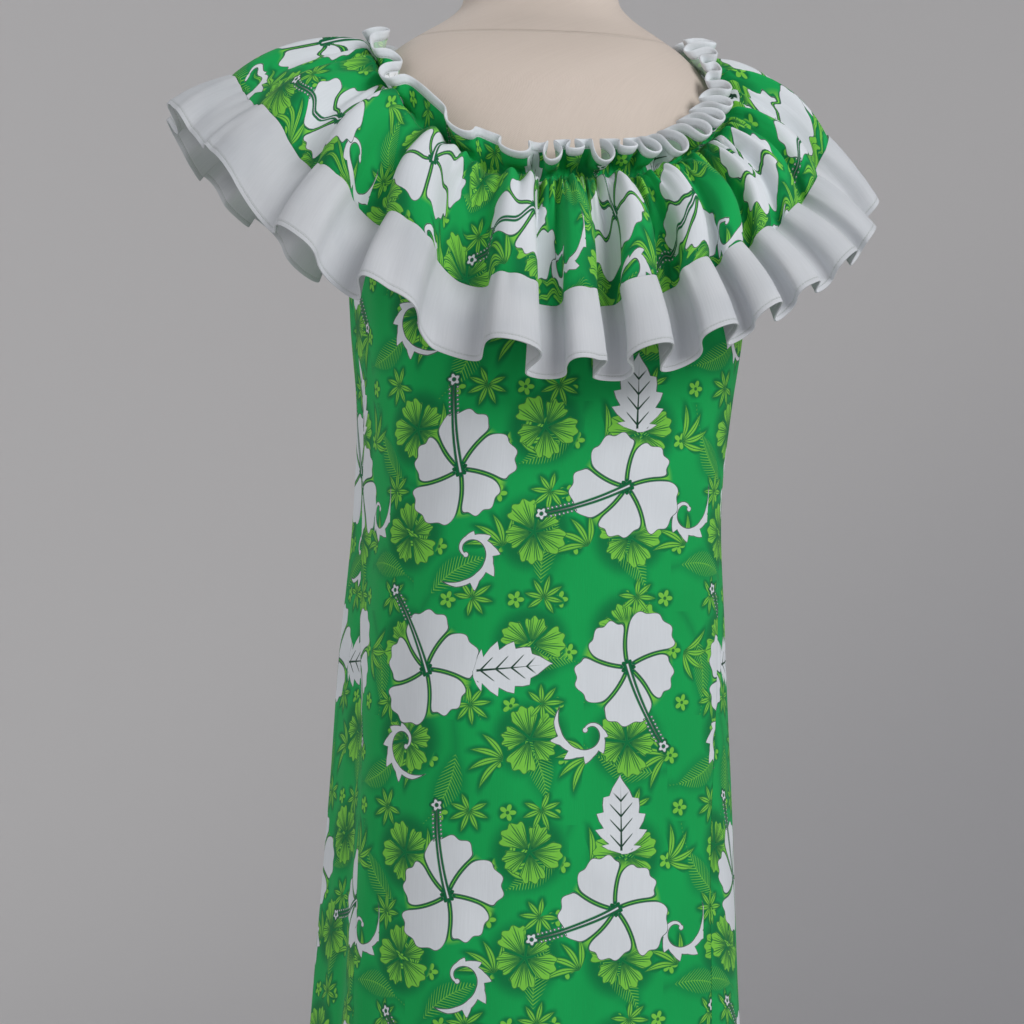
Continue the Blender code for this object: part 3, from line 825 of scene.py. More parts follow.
def leaf_star(x, y, leaflets, reach, half_width, twist, missing):
    """Pointed leaflets round a centre, each with a dark rib. missing is how many are left out."""
    r = length(x, y)
    part = (r * twist + arctan2(y, x)) * (leaflets / TURN) + 20.5
    k = wrap(floor(part), leaflets)
    off = absolute(fract(part) - 0.5) * r * (TURN / leaflets)
    out = absolute(k * (2.0 / leaflets) - 1.0) * (0.25 / reach) + 1.0 / reach
    out = out * r
    width = sin(minimum(out, 1.0) * math.pi) * half_width
    inside = width - off
    shown = smooth(missing - 0.6, missing - 0.4, k)
    filled, line = band(inside, THIN_LINE)
    rib = smooth(0.0004, 0.0002, off) * smooth(0.92, 0.80, out)
    halo = smooth(-0.0050, 0.0, inside) * smooth(1.25, 0.9, out) * shown
    return filled * shown, maximum(rib, line * 0.8), halo


def fern(x, y):
    """A curved stem with fine strokes on both sides. Gives the strokes and the dark blade behind them."""
    bent = x * x * -7.0 + y
    aside = absolute(bent)
    t = x * (1.0 / 0.050) + 0.5
    width = sin(minimum(maximum(t, 0.0), 1.0) * (0.97 * math.pi)) * 0.0105
    slant = absolute(fract(x * (1.0 / FERN_PITCH) + aside * (-0.95 / FERN_PITCH)) - 0.5)
    strokes = smooth(0.19, 0.08, slant + aside * 9.0)
    inside = width - aside
    stem = smooth(0.0006, 0.0003, aside) * smooth(0.0, 0.02, width)
    return maximum(strokes * smooth(0.0, 0.002, inside), stem), smooth(-0.0085, 0.0050, inside) * 0.65


def small_star(x, y, reach):
    r = length(x, y)
    out = r * (1.0 / reach)
    filled = smooth(0.0, 0.12, absolute(cos(arctan2(y, x) * 2.5)) * 0.66 + (0.34 - out))
    return filled, smooth(0.24, 0.16, out) * 0.9, smooth(1.35, 0.75, out)


def print_layers(u, v):
    """How much of the pale green, dark green, white and outline shows at a point of the cloth."""
    lime, near = fern(*motif_place(u, v, "fern"))
    dark = lime * 0.0

    def lay(lime, dark, near, filled, marks, halo):
        rest = 1.0 - filled
        return lime * rest + filled, dark * rest + marks * filled, maximum(near, halo)

    for motif in (
        leaf_star(*motif_place(u, v, "pointed leaves"), 11, 0.030, 0.0024, 14.0, 7),
        lime_flower(*motif_place(u, v, "pale flower"), PALE_FLOWER_REACH),
        leaf_star(*motif_place(u, v, "leaf star"), 8, 0.0170, 0.0021, 0.0, 1),
    ):
        lime, dark, near = lay(lime, dark, near, *motif)
    filled, marks, halo = small_star(*motif_place(u, v, "small star"), SMALL_STAR_REACH)
    keep = smooth(0.75, 0.45, near)
    lime, dark, near = lay(lime, dark, near, filled * keep, marks, halo * keep)

    x, y, i, j = cells(u, v, 2, 2, *FLOWER_SHIFT)
    x = x - pick(i, j, FLOWER_PLACES_U)
    x, y = rotated(x, y - pick(i, j, FLOWER_PLACES_V), pick(i, j, FLOWER_TURNS))
    white, line, throat, streak, green = white_flower(x, y)
    rest = 1.0 - throat
    lime = lime * rest + streak
    dark = maximum(dark * rest, throat - streak)
    filled, edge, halo = stamen(x, y, pick(i, j, STAMEN_BENDS))
    rest = 1.0 - halo
    white = maximum(white * rest, filled)
    line = maximum(line * rest, edge)
    lime = lime * rest
    dark = maximum(dark, halo)
    green = green * (1.0 - filled)

    x, y, i, j = cells(u, v, 1, 2, *LEAF_SHIFT)
    (left, low), (right, high) = LEAF_PLACES
    x = x - (j * (right - left) + left)
    x, y = rotated(x, y - (j * (high - low) + low), j * (LEAF_TURNS[1] - LEAF_TURNS[0]) + LEAF_TURNS[0])
    filled, edge, veins = white_leaf(x + 0.5 * LEAF_LENGTH, y)
    white = maximum(white, filled)
    line = line * (1.0 - filled) + maximum(edge, veins * filled)
    green = green * (1.0 - filled)

    x, y, i, j = cells(u, v, 2, 2, *SCROLL_SHIFT)
    x = x - pick(i, j, SCROLL_PLACES_U)
    x, y = rotated(x, y - pick(i, j, SCROLL_PLACES_V), pick(i, j, SCROLL_TURNS))
    filled, edge = scroll(x, y * pick(i, j, SCROLL_HANDS))
    line = maximum(line, edge * (1.0 - white))
    white = maximum(white, filled)
    return lime, dark, near, white, line, green


def cloth_place(tree, layer):
    """The two numbers of one of a piece's UV maps, in metres."""
    uv = tree.nodes.new("ShaderNodeUVMap")
    uv.uv_map = layer
    split = tree.nodes.new("ShaderNodeSeparateXYZ")
    tree.links.new(uv.outputs[0], split.inputs[0])
    return uv.outputs[0], Field(tree, split.outputs[0]), Field(tree, split.outputs[1])


def noise(tree, vector, scale, detail=2.0):
    node = tree.nodes.new("ShaderNodeTexNoise")
    node.inputs["Scale"].default_value = scale
    node.inputs["Detail"].default_value = detail
    tree.links.new(vector, node.inputs["Vector"])
    return Field(tree, node.outputs["Fac"])


def blended(tree, first, second, amount):
    """Mixes two colours. Each is a linear colour or a socket; amount is a Field or a number."""
    node = tree.nodes.new("ShaderNodeMix")
    node.data_type = "RGBA"
    for socket, value in ((node.inputs[6], first), (node.inputs[7], second), (node.inputs[0], amount)):
        if isinstance(value, Field):
            tree.links.new(value.socket, socket)
        elif isinstance(value, tuple):
            socket.default_value = (*value, 1.0)
        elif isinstance(value, float):
            socket.default_value = value
        else:
            tree.links.new(value, socket)
    return node.outputs[2]


def new_material(name):
    material = bpy.data.materials.new(name)
    material.use_nodes = True
    tree = material.node_tree
    return material, tree, tree.nodes["Principled BSDF"]


def bumped(tree, shader, height, distance):
    """height is a Field from 0 to 1, and distance what it stands for in metres."""
    bump = tree.nodes.new("ShaderNodeBump")
    bump.inputs["Strength"].default_value = 1.0
    bump.inputs["Distance"].default_value = distance
    tree.links.new(height.socket, bump.inputs["Height"])
    tree.links.new(bump.outputs[0], shader.inputs["Normal"])


def weave(u, v, thread):
    """A plain weave, from 0 between the threads to 1 on top of them."""
    across = sin(u * (math.pi / thread))
    down = sin(v * (math.pi / thread))
    return across * down * 0.5 + 0.5


def stitches(along, off, at, pitch):
    """A row of machine stitches at a distance from an edge, and the groove that it pulls in."""
    away = absolute(off - at)
    dash = smooth(0.42, 0.34, absolute(fract(along * (1.0 / pitch)) - 0.5))
    return smooth(0.00040, 0.00022, away) * dash, smooth(0.0016, 0.0003, away)


def slubs(tree, vector):
    """Thicker threads here and there, along the cloth."""
    stretched = tree.nodes.new("ShaderNodeMapping")
    stretched.inputs["Scale"].default_value = (1.0, 0.05, 1.0)
    tree.links.new(vector, stretched.inputs["Vector"])
    return noise(tree, stretched.outputs[0], 900.0, 0.0)


def cotton(name, colour_of, rows, faded=0.0, roughness=0.82):
    """Woven cotton. colour_of(tree, u, v) gives its colour, and rows lists its stitching as (at, pitch)."""
    material, tree, shader = new_material(name)
    vector, u, v = cloth_place(tree, "cloth")
    colour = colour_of(tree, u, v)
    threads = slubs(tree, vector)
    wear = noise(tree, vector, 14.0, 1.0)
    shade = smooth(0.25, 0.75, threads) * 0.2 + smooth(0.3, 0.7, wear) * 0.6
    colour = blended(tree, colour, (1.0, 1.0, 1.0), faded) if faded else colour
    darker = tree.nodes.new("ShaderNodeHueSaturation")
    tree.links.new(colour, darker.inputs["Color"])
    tree.links.new((shade * 0.14 + 0.93).socket, darker.inputs["Value"])
    colour = darker.outputs[0]
    height = weave(u, v, THREAD) * 0.25 + threads * 0.3
    if rows:
        _, along, off = cloth_place(tree, "edge")
        for at, pitch in rows:
            thread, groove = stitches(along, off, at, pitch)
            colour = blended(tree, colour, SEWING, thread * 0.4)
            height = height + thread * 1.2 - groove * 0.9
    bumped(tree, shader, height, COTTON_RELIEF)
    tree.links.new(colour, shader.inputs["Base Color"])
    tree.links.new((threads * 0.12 + (roughness - 0.06)).socket, shader.inputs["Roughness"])
    shader.inputs["Sheen Weight"].default_value = 0.05
    shader.inputs["Sheen Roughness"].default_value = 0.5
    shader.inputs["Specular IOR Level"].default_value = 0.18
    return material


def print_colour(tree, u, v):
    lime, dark, near, white, line, green = print_layers(u, v)
    colour = blended(tree, GREEN, TEAL, near * 0.8)
    colour = blended(tree, colour, LIME, lime * 0.94)
    colour = blended(tree, colour, TEAL, dark)
    colour = blended(tree, colour, WHITE, white)
    colour = blended(tree, colour, TEAL, green)
    return blended(tree, colour, INK, line)


def ruffle_colour(tree, u, v):
    patches = smooth(0.35, 0.75, noise(tree, cloth_place(tree, "cloth")[0], 25.0, 1.0))
    return blended(tree, RUFFLE_WHITE, RUFFLE_SHADE, patches)


def binding_colour(tree, u, v):
    patches = smooth(0.45, 0.85, noise(tree, cloth_place(tree, "cloth")[0], 60.0, 1.0))
    return blended(tree, WHITE, RUFFLE_WHITE, patches)


def linen_material():
    """The form's cover: a coarse plain weave with seams pressed flat."""
    material, tree, shader = new_material("linen_cover")
    vector, u, v = cloth_place(tree, "cloth")
    threads = slubs(tree, vector)
    blotch = noise(tree, vector, 9.0, 3.0)
    shade = smooth(0.3, 0.7, threads) * 0.22 + smooth(0.35, 0.7, blotch) * 0.35
    colour = blended(tree, LINEN, LINEN_SHADE, shade)
    _, along, off = cloth_place(tree, "edge")
    thread, groove = stitches(along, off, 0.0, FORM_STITCH)
    colour = blended(tree, colour, LINEN_SHADE, groove * 0.7)
    tree.links.new(colour, shader.inputs["Base Color"])
    height = weave(u, v, LINEN_THREAD) * 0.6 + threads * 0.25 - groove * 2.5
    bumped(tree, shader, height, LINEN_RELIEF)
    shader.inputs["Roughness"].default_value = 0.9
    shader.inputs["Sheen Weight"].default_value = 0.2
    shader.inputs["Specular IOR Level"].default_value = 0.2
    return material


def metal_material(name, colour, roughness):
    """Turned metal with a fine grain and small marks."""
    material, tree, shader = new_material(name)
    place = tree.nodes.new("ShaderNodeNewGeometry")
    marks = noise(tree, place.outputs["Position"], 60.0, 6.0)
    fine = noise(tree, place.outputs["Position"], 900.0, 2.0)
    worn = blended(tree, colour, tuple(0.7 * c for c in colour), smooth(0.35, 0.8, marks))
    tree.links.new(worn, shader.inputs["Base Color"])
    tree.links.new((marks * 0.18 + fine * 0.08 + (roughness - 0.1)).socket, shader.inputs["Roughness"])
    bumped(tree, shader, fine * 0.5 + marks * 0.5, METAL_RELIEF)
    shader.inputs["Metallic"].default_value = 0.85
    return material


def quads(rows, columns):
    """Corner rows and columns of each face in a grid of rows by columns faces."""
    r, c = (a.ravel() for a in np.mgrid[0:rows, 0:columns])
    return np.stack((r, r + 1, r + 1, r), axis=1), np.stack((c, c, c + 1, c + 1), axis=1)


def write_maps(mesh, flat, edge, at_r, at_c):
    """The UV maps of the cloth's print and of its stitching, in metres."""
    for layer, values in (("cloth", flat), ("edge", edge)):
        uv = mesh.uv_layers.new(name=layer)
        uv.data.foreach_set("uv", values[at_r.ravel(), at_c.ravel()].ravel().astype(np.float32))


def shell(name, inner, outer, flat, edge, closed, materials):
    """A thin sheet between two grids. flat and edge are its UV maps, one column longer where it closes."""
    rows, columns = inner.shape[:2]
    spans = columns if closed else columns - 1
    far = rows * columns
    near_r, near_c = quads(rows - 1, spans)
    faces = [(near_r[:, ::-1], near_c[:, ::-1], np.zeros_like(near_r))]
    faces.append((near_r, near_c, np.ones_like(near_r)))
    rims = [(0, 1, True), (rows - 1, -1, True)]
    rims += [] if closed else [(0, -1, False), (columns - 1, 1, False)]
    for place, flip, is_row in rims:
        run = np.arange(spans if is_row else rows - 1)
        run = np.stack((run, run + 1, run + 1, run), axis=1)[:, ::flip]
        fixed = np.full_like(run, place)
        side = np.tile((0, 0, 1, 1), (len(run), 1))[:, ::flip]
        faces.append((fixed, run, side) if is_row else (run, fixed, side))
    at_r, at_c, side = (np.concatenate([face[i] for face in faces]) for i in range(3))
    corners = at_r * columns + at_c % columns + side * far
    mesh = bpy.data.meshes.new(name)
    points = np.concatenate((inner.reshape(-1, 3), outer.reshape(-1, 3)))
    mesh.from_pydata(points.tolist(), [], corners.tolist())
    write_maps(mesh, flat, edge, at_r, at_c)
    wrong_side = np.zeros(len(corners), dtype=np.int32)
    wrong_side[:(rows - 1) * spans] = 1
    for material in materials:
        mesh.materials.append(material)
    if len(materials) > 1:
        mesh.polygons.foreach_set("material_index", wrong_side)
    return placed(name, mesh)


def linked(name, data):
    """A new object in the scene."""
    obj = bpy.data.objects.new(name, data)
    bpy.context.scene.collection.objects.link(obj)
    return obj


def placed(name, mesh, sharp=60.0):
    bm = bmesh.new()
    bm.from_mesh(mesh)
    bmesh.ops.recalc_face_normals(bm, faces=bm.faces)
    bm.to_mesh(mesh)
    bm.free()
    mesh.shade_smooth()
    mesh.set_sharp_from_angle(angle=math.radians(sharp))
    return linked(name, mesh)


def closed_ring(grid):
    """The grid with its first column repeated at its end."""
    return np.concatenate((grid, grid[:, :1]), axis=1)


def lengths_along(points, axis):
    """Length run along a grid of points, starting from 0."""
    steps = np.linalg.norm(np.diff(points, axis=axis), axis=-1)
    start = np.zeros_like(np.take(steps, [0], axis=axis))
    return np.cumsum(np.concatenate((start, steps), axis=axis), axis=axis)


def arc_table():
    """Length round the body from the print's centre line, for steps of height and angle."""
    heights = np.linspace(0.03, 1.38, 55)
    angles = np.arange(-182.0, 184.0, 2.0)
    grid_angle, grid_z = np.meshgrid(angles, heights)
    arcs = lengths_along(body_points(grid_angle, grid_z), 1)
    return heights, angles, arcs


def arc_at(table, angle, z, centre):
    """The table read between its steps, less its value at the centre angle."""
    heights, angles, arcs = table

    def read(at):
        row = np.clip((z - heights[0]) / (heights[1] - heights[0]), 0.0, len(heights) - 1.001)
        column = np.clip((at - angles[0]) / (angles[1] - angles[0]), 0.0, len(angles) - 1.001)
        r, c = row.astype(int), column.astype(int)
        fr, fc = row - r, column - c
        low = arcs[r, c] * (1 - fc) + arcs[r, c + 1] * fc
        high = arcs[r + 1, c] * (1 - fc) + arcs[r + 1, c + 1] * fc
        return low * (1 - fr) + high * fr

    turned = wrapped(angle)
    length_round = read(np.full_like(z, 180.0)) - read(np.full_like(z, -180.0))
    arc = read(turned) - read(np.full_like(z, centre))
    return arc + np.where(angle > 180.0, length_round, 0.0)


def body_ripples(angle, z):
    """Small soft waves of the hanging cloth, deepest towards the hem and under the flounce."""
    turn = np.radians(angle)
    low = ease(1.05, 0.15, z)
    top = ease(1.06, 1.20, z)
    wave = np.sin(31.0 * turn + 2.0 * np.sin(3.0 * turn) + 1.6 * np.sin(5.0 * z))
    short = np.sin(53.0 * turn + 3.0 * np.sin(2.0 * turn + 4.0 * z) + 3.0)
    drag = np.sin(26.0 * z + 9.0 * turn + 2.0 * np.sin(4.0 * turn))
    return RIPPLE * (wave * (0.35 + 0.65 * low + 0.8 * top) + 0.4 * short * low + 0.25 * drag)


def body_sheet(name, share, angle_of, centre, table, materials):
    """One panel from seam to seam. share runs from -1 at one side seam to 1 at the other."""
    top_angle = angle_of(share, np.full_like(share, UNDERARM_Z))
    dropped = ease(ARMHOLE_BEGINS, ARMHOLE_ENDS, np.abs(share))
    top = neck_height(top_angle) - BODY_TOP_BELOW_ELASTIC
    top = top + (UNDERARM_Z - top) * dropped
    down = np.linspace(0.0, 1.0, BODY_SHEET_ROWS + 1)[:, None]
    z = top + (hem_height(top_angle) - top) * down
    share = np.broadcast_to(share, z.shape)
    angle = angle_of(share, z)
    base = body_points(angle, z)
    normals = body_normals(angle, z)
    from_seam = (1.0 - np.abs(share)) * np.hypot(base[..., 0], base[..., 1])
    dip = SEAM_DIP * np.exp(-((from_seam / SEAM_DIP_WIDTH) ** 2)) * ease(1.20, 1.10, z)
    rise = np.maximum(body_ripples(angle, z), -DEEPEST_RIPPLE)
    rise = rise * ease(0.0, RIPPLE_BEGINS, from_seam) * ease(0.0, RIPPLE_BEGINS, down) - dip
    inner = base + normals * rise[..., None]
    outer = inner + SHEET_CLOTH * normals
    arc = arc_at(table, angle, z, centre)
    drop = (PRINT_TOP - z) * 1.01
    flat = np.stack((arc, drop), axis=-1)
    edge = np.stack((arc, z - hem_height(top_angle)), axis=-1)
    return shell(name, inner, outer, flat, edge, False, materials)


def ring_rows():
    """Fine rows of the frill, flounce and ruffle, as their place along the ring's cut."""
    frill = np.linspace(-1.0, 0.0, FRILL_SHEET_ROWS, endpoint=False)
    gathered = np.linspace(0.0, 0.25, 12, endpoint=False)
    tucked = np.linspace(1.003, 1.30, 8, endpoint=False)
    hanging = np.linspace(1.30, 1.92, 10, endpoint=False)
    upper = np.concatenate((frill, gathered, np.linspace(0.25, 1.0, 22)))
    return upper, np.concatenate((tucked, hanging, (1.92, 1.94, 1.97, 2.0)))


def creased(phase):
    """Ridges of height 1 with narrow, rounded floors between them."""
    return np.sqrt(np.sin(phase) ** 2 + 0.02) - 0.14


def fine_gathers(angle, along):
    """How far the small gathers stand out: at the elastic, down the flounce and below the ruffle's seam."""
    turn = np.radians(angle)
    loops = frill_phase(angle)
    down = np.clip(along, 0.0, 1.0)
    casing = (0.5 + 0.5 * np.cos(3.0 * loops + 1.2 * np.sin(7.0 * turn))) * np.exp(-down / CASING_FADES)
    uneven = 0.55 + 0.45 * np.sin(11.0 * turn + 2.0 * np.sin(5.0 * turn))
    crease = creased(loops + 0.9 * np.sin(6.0 * turn) + 0.5 * np.sin(15.0 * turn))
    crease = crease * (0.45 + 0.55 * uneven) * np.exp(-((down / (0.35 + 0.40 * uneven)) ** 2))
    fine = creased(2.0 * loops + 1.1 * np.sin(9.0 * turn + 1.0)) * np.exp(-((down / FINE_FADES) ** 2))
    fine = fine * (1.0 + 1.2 * np.exp(-(((angle + 55.0) / 40.0) ** 2)))
    flank = np.sin(TURN * fold_phase(angle)) ** 2
    begins = ease(0.02, 0.14, down) * (1.0 - 0.8 * flank * ease(0.05, 0.40, down))
    above = np.exp(np.clip(along, -1.0, 0.0) / 0.25)
    flounce = CASING_GATHER * casing * above + (CREASE_DEPTH * crease + FINE_CREASE * fine) * begins
    under = np.clip(along - 1.0, 0.0, 1.0)
    tucks = creased(0.5 * TUCKS * turn + 1.5 * np.sin(17.0 * turn) + 1.2 * np.sin(5.0 * turn))
    flutes = creased(27.0 * turn + 1.6 * np.sin(9.0 * turn) + 0.9 * np.sin(4.0 * turn))
    ruffle = TUCK_DEPTH * tucks * np.exp(-under / TUCK_FADES) + FLUTE_DEPTH * flutes * ease(0.0, 0.9, under)
    return np.where(along > 1.0, ruffle, flounce)


def ring_angles(columns):
    """Angles all round, closer together where the frill has more loops."""
    fine = np.linspace(-180.0, 180.0, 721)
    share = 0.5 * (fine + 180.0) / 360.0 + 0.5 * spline(FRILL_LOOPS, fine)[0] / FRILL_LOOPS[-1, 1]
    return np.interp(np.arange(columns) / columns, share, fine)


def ring_sheets(materials_print, white, bias):
    """The flounce with its frill, the ruffle and the binding on the frill's top edge."""
    angle = ring_angles(RING_SHEET_COLUMNS)
    upper, lower = ring_rows()
    rows = np.concatenate((upper, lower))
    inner = np.array([flounce_points(angle, np.full_like(angle, along)) for along in rows])
    step = unit(inner[1:] - inner[:-1])
    down = np.concatenate((step[:1], step[1:] + step[:-1], step[-1:]))
    round_it = np.roll(inner, -1, axis=1) - np.roll(inner, 1, axis=1)
    normals = unit(np.cross(down, round_it))
    near = range(-NORMAL_REACH, NORMAL_REACH + 1)
    normals = unit(sum(np.roll(normals, columns, axis=1) for columns in near))
    seam = len(upper)
    normals[seam - 1:seam + 1] = unit(normals[seam - 1] + normals[seam])
    thick = np.full(len(rows), SHEET_CLOTH)
    thick[-4:] = HEM_CLOTH
    outer = inner + normals * thick[:, None, None]
    closed = closed_ring(inner)
    round_seam = lengths_along(closed[seam - 1:seam], 1)[0]
    round_hem = lengths_along(closed[-1:], 1)[0]
    drop = lengths_along(closed, 0)
    middle = drop - drop[FRILL_SHEET_ROWS]
    flat = np.stack((np.broadcast_to(round_seam, drop.shape), middle), axis=-1)
    printed = flat[:seam] + FLOUNCE_PRINT_SHIFT
    flounce = shell(
        "neck_flounce_cloth", inner[:seam], outer[:seam], printed, flat[:seam], True, materials_print
    )
    to_hem = drop[-1] - drop[seam:]
    edge = np.stack((np.broadcast_to(round_hem, to_hem.shape), to_hem), axis=-1)
    ruffle = shell("white_ruffle_cloth", inner[seam:], outer[seam:], edge, edge, True, (white,))
    up = unit(inner[0] - inner[3])
    out = unit(outer[0] - inner[0])
    binding = bound_edge(0.5 * (inner[0] + outer[0]), up, out, bias)
    return flounce, ruffle, binding


def bound_edge(path, up, out, material):
    """A folded bias strip round the frill's edge: an oval tube, fuller at its fold."""
    phase = np.linspace(0.0, TURN, BINDING_SIDES, endpoint=False)
    tall = 0.5 * (BINDING_HEIGHT + BINDING_GAP)
    rise = tall * np.sign(np.cos(phase)) * np.abs(np.cos(phase)) ** 0.8
    wide = 0.5 * BINDING_CLOTH * np.abs(np.sin(phase)) ** 0.7 * np.sign(np.sin(phase))
    wide = wide * (1.0 + 0.25 * np.cos(phase))
    rings = pushed_out(path + up * (tall + rise)[:, None, None] + out * wide[:, None, None], under_cloth)
    columns = path.shape[0]
    sides = len(phase)
    at_s, at_c = quads(sides, columns)
    corners = (at_s % sides) * columns + at_c % columns
    mesh = bpy.data.meshes.new("neck_binding_cloth")
    mesh.from_pydata(rings.reshape(-1, 3).tolist(), [], corners.tolist())
    run = lengths_along(closed_ring(path[None]), 1)[0]
    height = np.concatenate((tall + rise, [2.0 * tall]))
    flat = np.stack(np.broadcast_arrays(run, height[:, None]), axis=-1)
    write_maps(mesh, flat, flat, at_s, at_c)
    mesh.materials.append(material)
    return placed("neck_binding_cloth", mesh, 80.0)


def form_sheet(material):
    """The padded form in one smooth skin, closed below and at the neck."""
    angle = np.linspace(-180.0, 180.0, FORM_SHEET_COLUMNS, endpoint=False)
    upper = np.linspace(FORM_TOP, 1.34, 60, endpoint=False)
    heights = np.concatenate((upper, np.linspace(1.34, FORM_BOTTOM, 90)))
    rings = [polar(form_radius(angle, np.full_like(angle, z)), angle, z) for z in heights]
    grid = np.array(rings)
    run = lengths_along(closed_ring(grid), 1)
    centre_back = np.minimum(run, run[:, -1:] - run)
    neck_seam = np.broadcast_to((heights - NECK_SEAM_Z)[:, None], run.shape)
    off = np.where(np.abs(neck_seam) < centre_back, neck_seam, centre_back)
    flat = np.stack((run, np.broadcast_to(heights[:, None], run.shape)), axis=-1)
    edge = np.stack((run + flat[..., 1], off), axis=-1)
    return turned_skin("dress_form_cover", grid, flat, edge, material)


def turned_skin(name, grid, flat, edge, material):
    """A closed skin through rings of points, with its two end rings filled."""
    rows, columns = grid.shape[:2]
    at_r, at_c = quads(rows - 1, columns)
    corners = (at_r * columns + at_c % columns).tolist()
    ends = [list(range(columns)), list(range((rows - 1) * columns, rows * columns))]
    mesh = bpy.data.meshes.new(name)
    mesh.from_pydata(grid.reshape(-1, 3).tolist(), [], corners + ends)
    tail = np.zeros(2 * columns, dtype=int)
    tail[columns:] = rows - 1
    all_r = np.concatenate((at_r.ravel(), tail))
    all_c = np.concatenate((at_c.ravel(), np.tile(np.arange(columns), 2)))
    write_maps(mesh, flat, edge, all_r, all_c)
    mesh.materials.append(material)
    return placed(name, mesh, 45.0)


def neck_cap_sheet(material):
    """The padded cap on the neck, with a rounded edge and a seam stitched round its rim."""
    angle = np.linspace(-180.0, 180.0, FORM_SHEET_COLUMNS, endpoint=False)
    low = FORM_TOP + SEAM_GAP
    phase = np.linspace(0.0, 0.5 * math.pi, 12)
    steps = [(1.0, low), (1.0, low + 0.35 * CAP_THICKNESS)]
    for a in phase[1:]:
        rise = 0.35 + 0.65 * math.sin(a)
        steps.append((0.02 + 0.98 * math.cos(a) ** 0.55, low + CAP_THICKNESS * rise))
    radius = form_radius(angle, np.full_like(angle, FORM_TOP)) + CAP_OVERHANG
    grid = np.array([polar(scale * radius, angle, z) for scale, z in steps])[::-1]
    run = lengths_along(closed_ring(grid), 1)
    down = np.broadcast_to(lengths_along(grid, 0)[:, :1], run.shape)
    flat = np.stack((run, down), axis=-1)
    edge = np.stack((run, down - down[-2:-1]), axis=-1)
    return turned_skin("neck_cap_cover", grid, flat, edge, material)


def backdrop():
    """A pale floor that sweeps up into a wall all round. Painted shade darkens its colour towards the right
    and lower down.
    """
    material, tree, shader = new_material("studio_grey")
    place = tree.nodes.new("ShaderNodeNewGeometry")
    split = tree.nodes.new("ShaderNodeSeparateXYZ")
    tree.links.new(place.outputs["Position"], split.inputs[0])
    x, y, z = (Field(tree, out) for out in split.outputs)
    # Painted shade: the backdrop's colour darkens to the right and lower down, standing in for light that
    # falls off there
    painted_shade_low_right = smooth(0.0, 1.0, x * 0.28 + (z * -0.42 + 0.22))
    tree.links.new(blended(tree, STUDIO, STUDIO_PAINTED_SHADE, painted_shade_low_right), shader.inputs["Base Color"])
    shader.inputs["Roughness"].default_value = 0.95
    shader.inputs["Specular IOR Level"].default_value = 0.1
    phase = np.linspace(0.0, 0.5 * math.pi, 16)
    flat = ROOM_RADIUS - ROOM_CURVE
    curve = [(flat + ROOM_CURVE * math.sin(a), ROOM_CURVE * (1 - math.cos(a))) for a in phase]
    profile = [(ROOM_RADIUS, ROOM_HEIGHT)] + curve[::-1] + [(0.0, 0.0)]
    mesh = bpy.data.meshes.new("studio_floor")
    edges = [(i, i + 1) for i in range(len(profile) - 1)]
    mesh.from_pydata([(radius, 0.0, z) for radius, z in profile], edges, [])
    mesh.materials.append(material)
    obj = linked("studio_floor", mesh)
    screw = obj.modifiers.new("turn", "SCREW")
    screw.steps = ROOM_STEPS
    screw.render_steps = ROOM_STEPS
    screw.use_merge_vertices = True
    screw.merge_threshold = 0.00001
    screw.use_smooth_shade = True


def lamp(name, place, target, size, power):
    data = bpy.data.lights.new(name, "AREA")
    data.shape = "RECTANGLE"
    data.size = data.size_y = size
    data.energy = power
    obj = linked(name, data)
    obj.location = place
    obj.rotation_euler = (Vector(target) - Vector(place)).to_track_quat("-Z", "Y").to_euler()


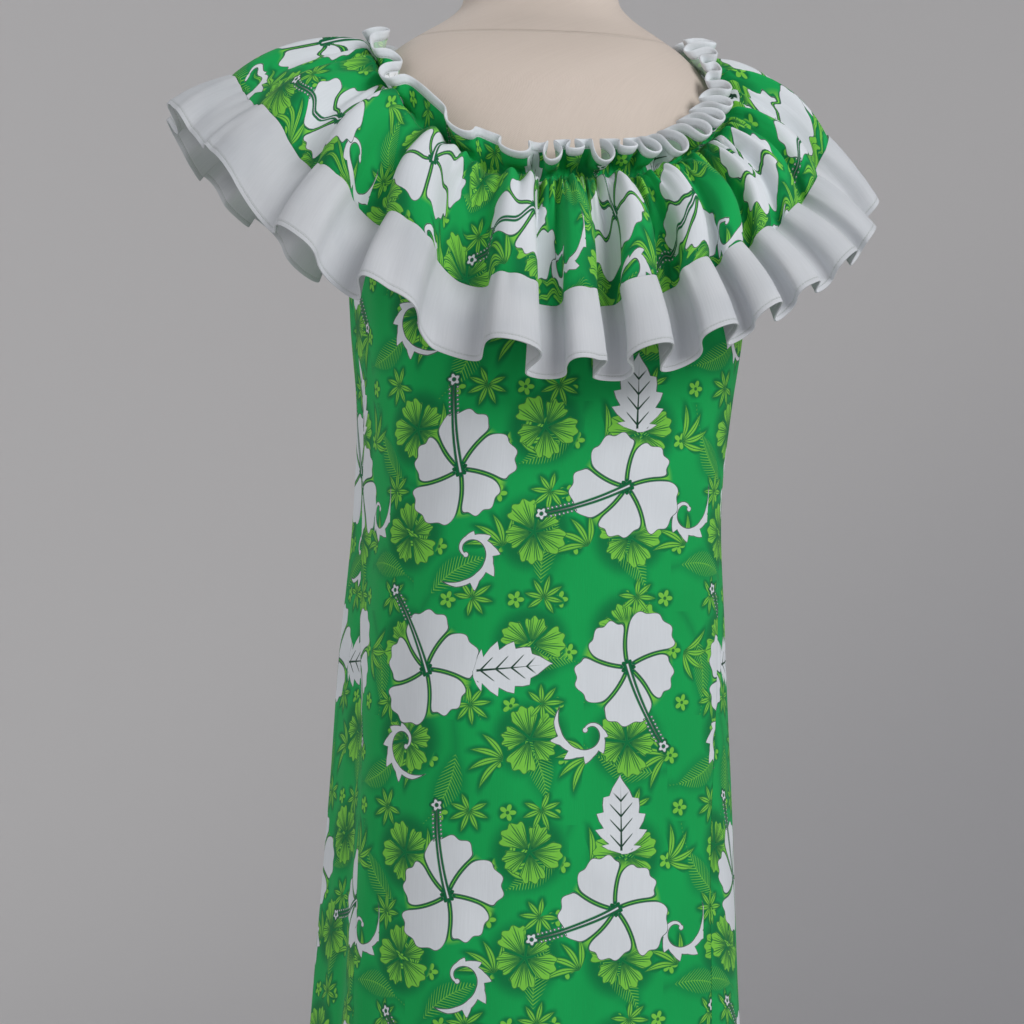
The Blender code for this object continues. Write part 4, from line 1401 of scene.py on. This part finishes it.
def light_and_camera():
    scene = bpy.context.scene
    scene.view_settings.view_transform = "Standard"
    world = bpy.data.worlds.new("studio_light")
    world.use_nodes = True
    world.node_tree.nodes["Background"].inputs["Color"].default_value = WORLD_COLOUR
    world.node_tree.nodes["Background"].inputs["Strength"].default_value = WORLD_LIGHT
    scene.world = world
    for name, place, target, size, power in LAMPS:
        lamp(name, place, target, size, power)
    data = bpy.data.cameras.new("camera")
    data.sensor_width = SENSOR_WIDTH
    data.lens = FOCAL_PIXELS / FRAME_PIXELS * data.sensor_width
    data.shift_x = -SHIFT_PIXELS / FRAME_PIXELS
    camera = linked("camera", data)
    turn = math.radians(CAMERA_AZIMUTH)
    camera.location = (CAMERA_FAR * math.sin(turn), -CAMERA_FAR * math.cos(turn), CAMERA_Z)
    camera.rotation_euler = (0.5 * math.pi, 0.0, turn)
    scene.camera = camera


def main():
    right = cotton("printed_cotton_right", print_colour, ((SKIRT_HEM, STITCH),))
    flounce_right = cotton("printed_cotton_flounce", print_colour, ((CASING_ROW, STITCH),))
    wrong = cotton("printed_cotton_wrong", print_colour, (), faded=0.45)
    white = cotton("white_cotton_hemmed", ruffle_colour, ((RUFFLE_HEM, FINE_STITCH),), roughness=0.85)
    bias = cotton("white_cotton_bias", binding_colour, ((BINDING_ROW, FINE_STITCH),), roughness=0.80)
    linen = linen_material()
    metal = metal_material("brushed_steel", STEEL, 0.38)
    table = arc_table()
    from_right = 2.0 * np.linspace(0.0, 1.0, FRONT_SHEET_COLUMNS + 1) - 1.0
    from_left = 1.0 - 2.0 * np.linspace(0.0, 1.0, BACK_SHEET_COLUMNS + 1)
    both = (right, wrong)
    front = body_sheet("front_panel_cloth", from_right, front_angle, PRINT_ANGLE, table, both)
    back = body_sheet("back_panel_cloth", from_left, back_angle, 180.0 + PRINT_ANGLE, table, both)
    flounce, ruffle, binding = ring_sheets((flounce_right, wrong), white, bias)
    form = form_sheet(linen)
    cap = neck_cap_sheet(linen)
    for piece, node in (
        (front, "front_panel"),
        (back, "back_panel"),
        (flounce, "neck_flounce"),
        (ruffle, "white_ruffle"),
        (binding, "neck_binding"),
        (form, "form_torso"),
        (cap, "form_neck_cap"),
    ):
        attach(piece, "root")
        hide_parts(node)
    for node in ("stand_base", "stand_pole", "stand_socket"):
        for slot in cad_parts[node].material_slots:
            slot.material = metal
    backdrop()
    light_and_camera()


main()
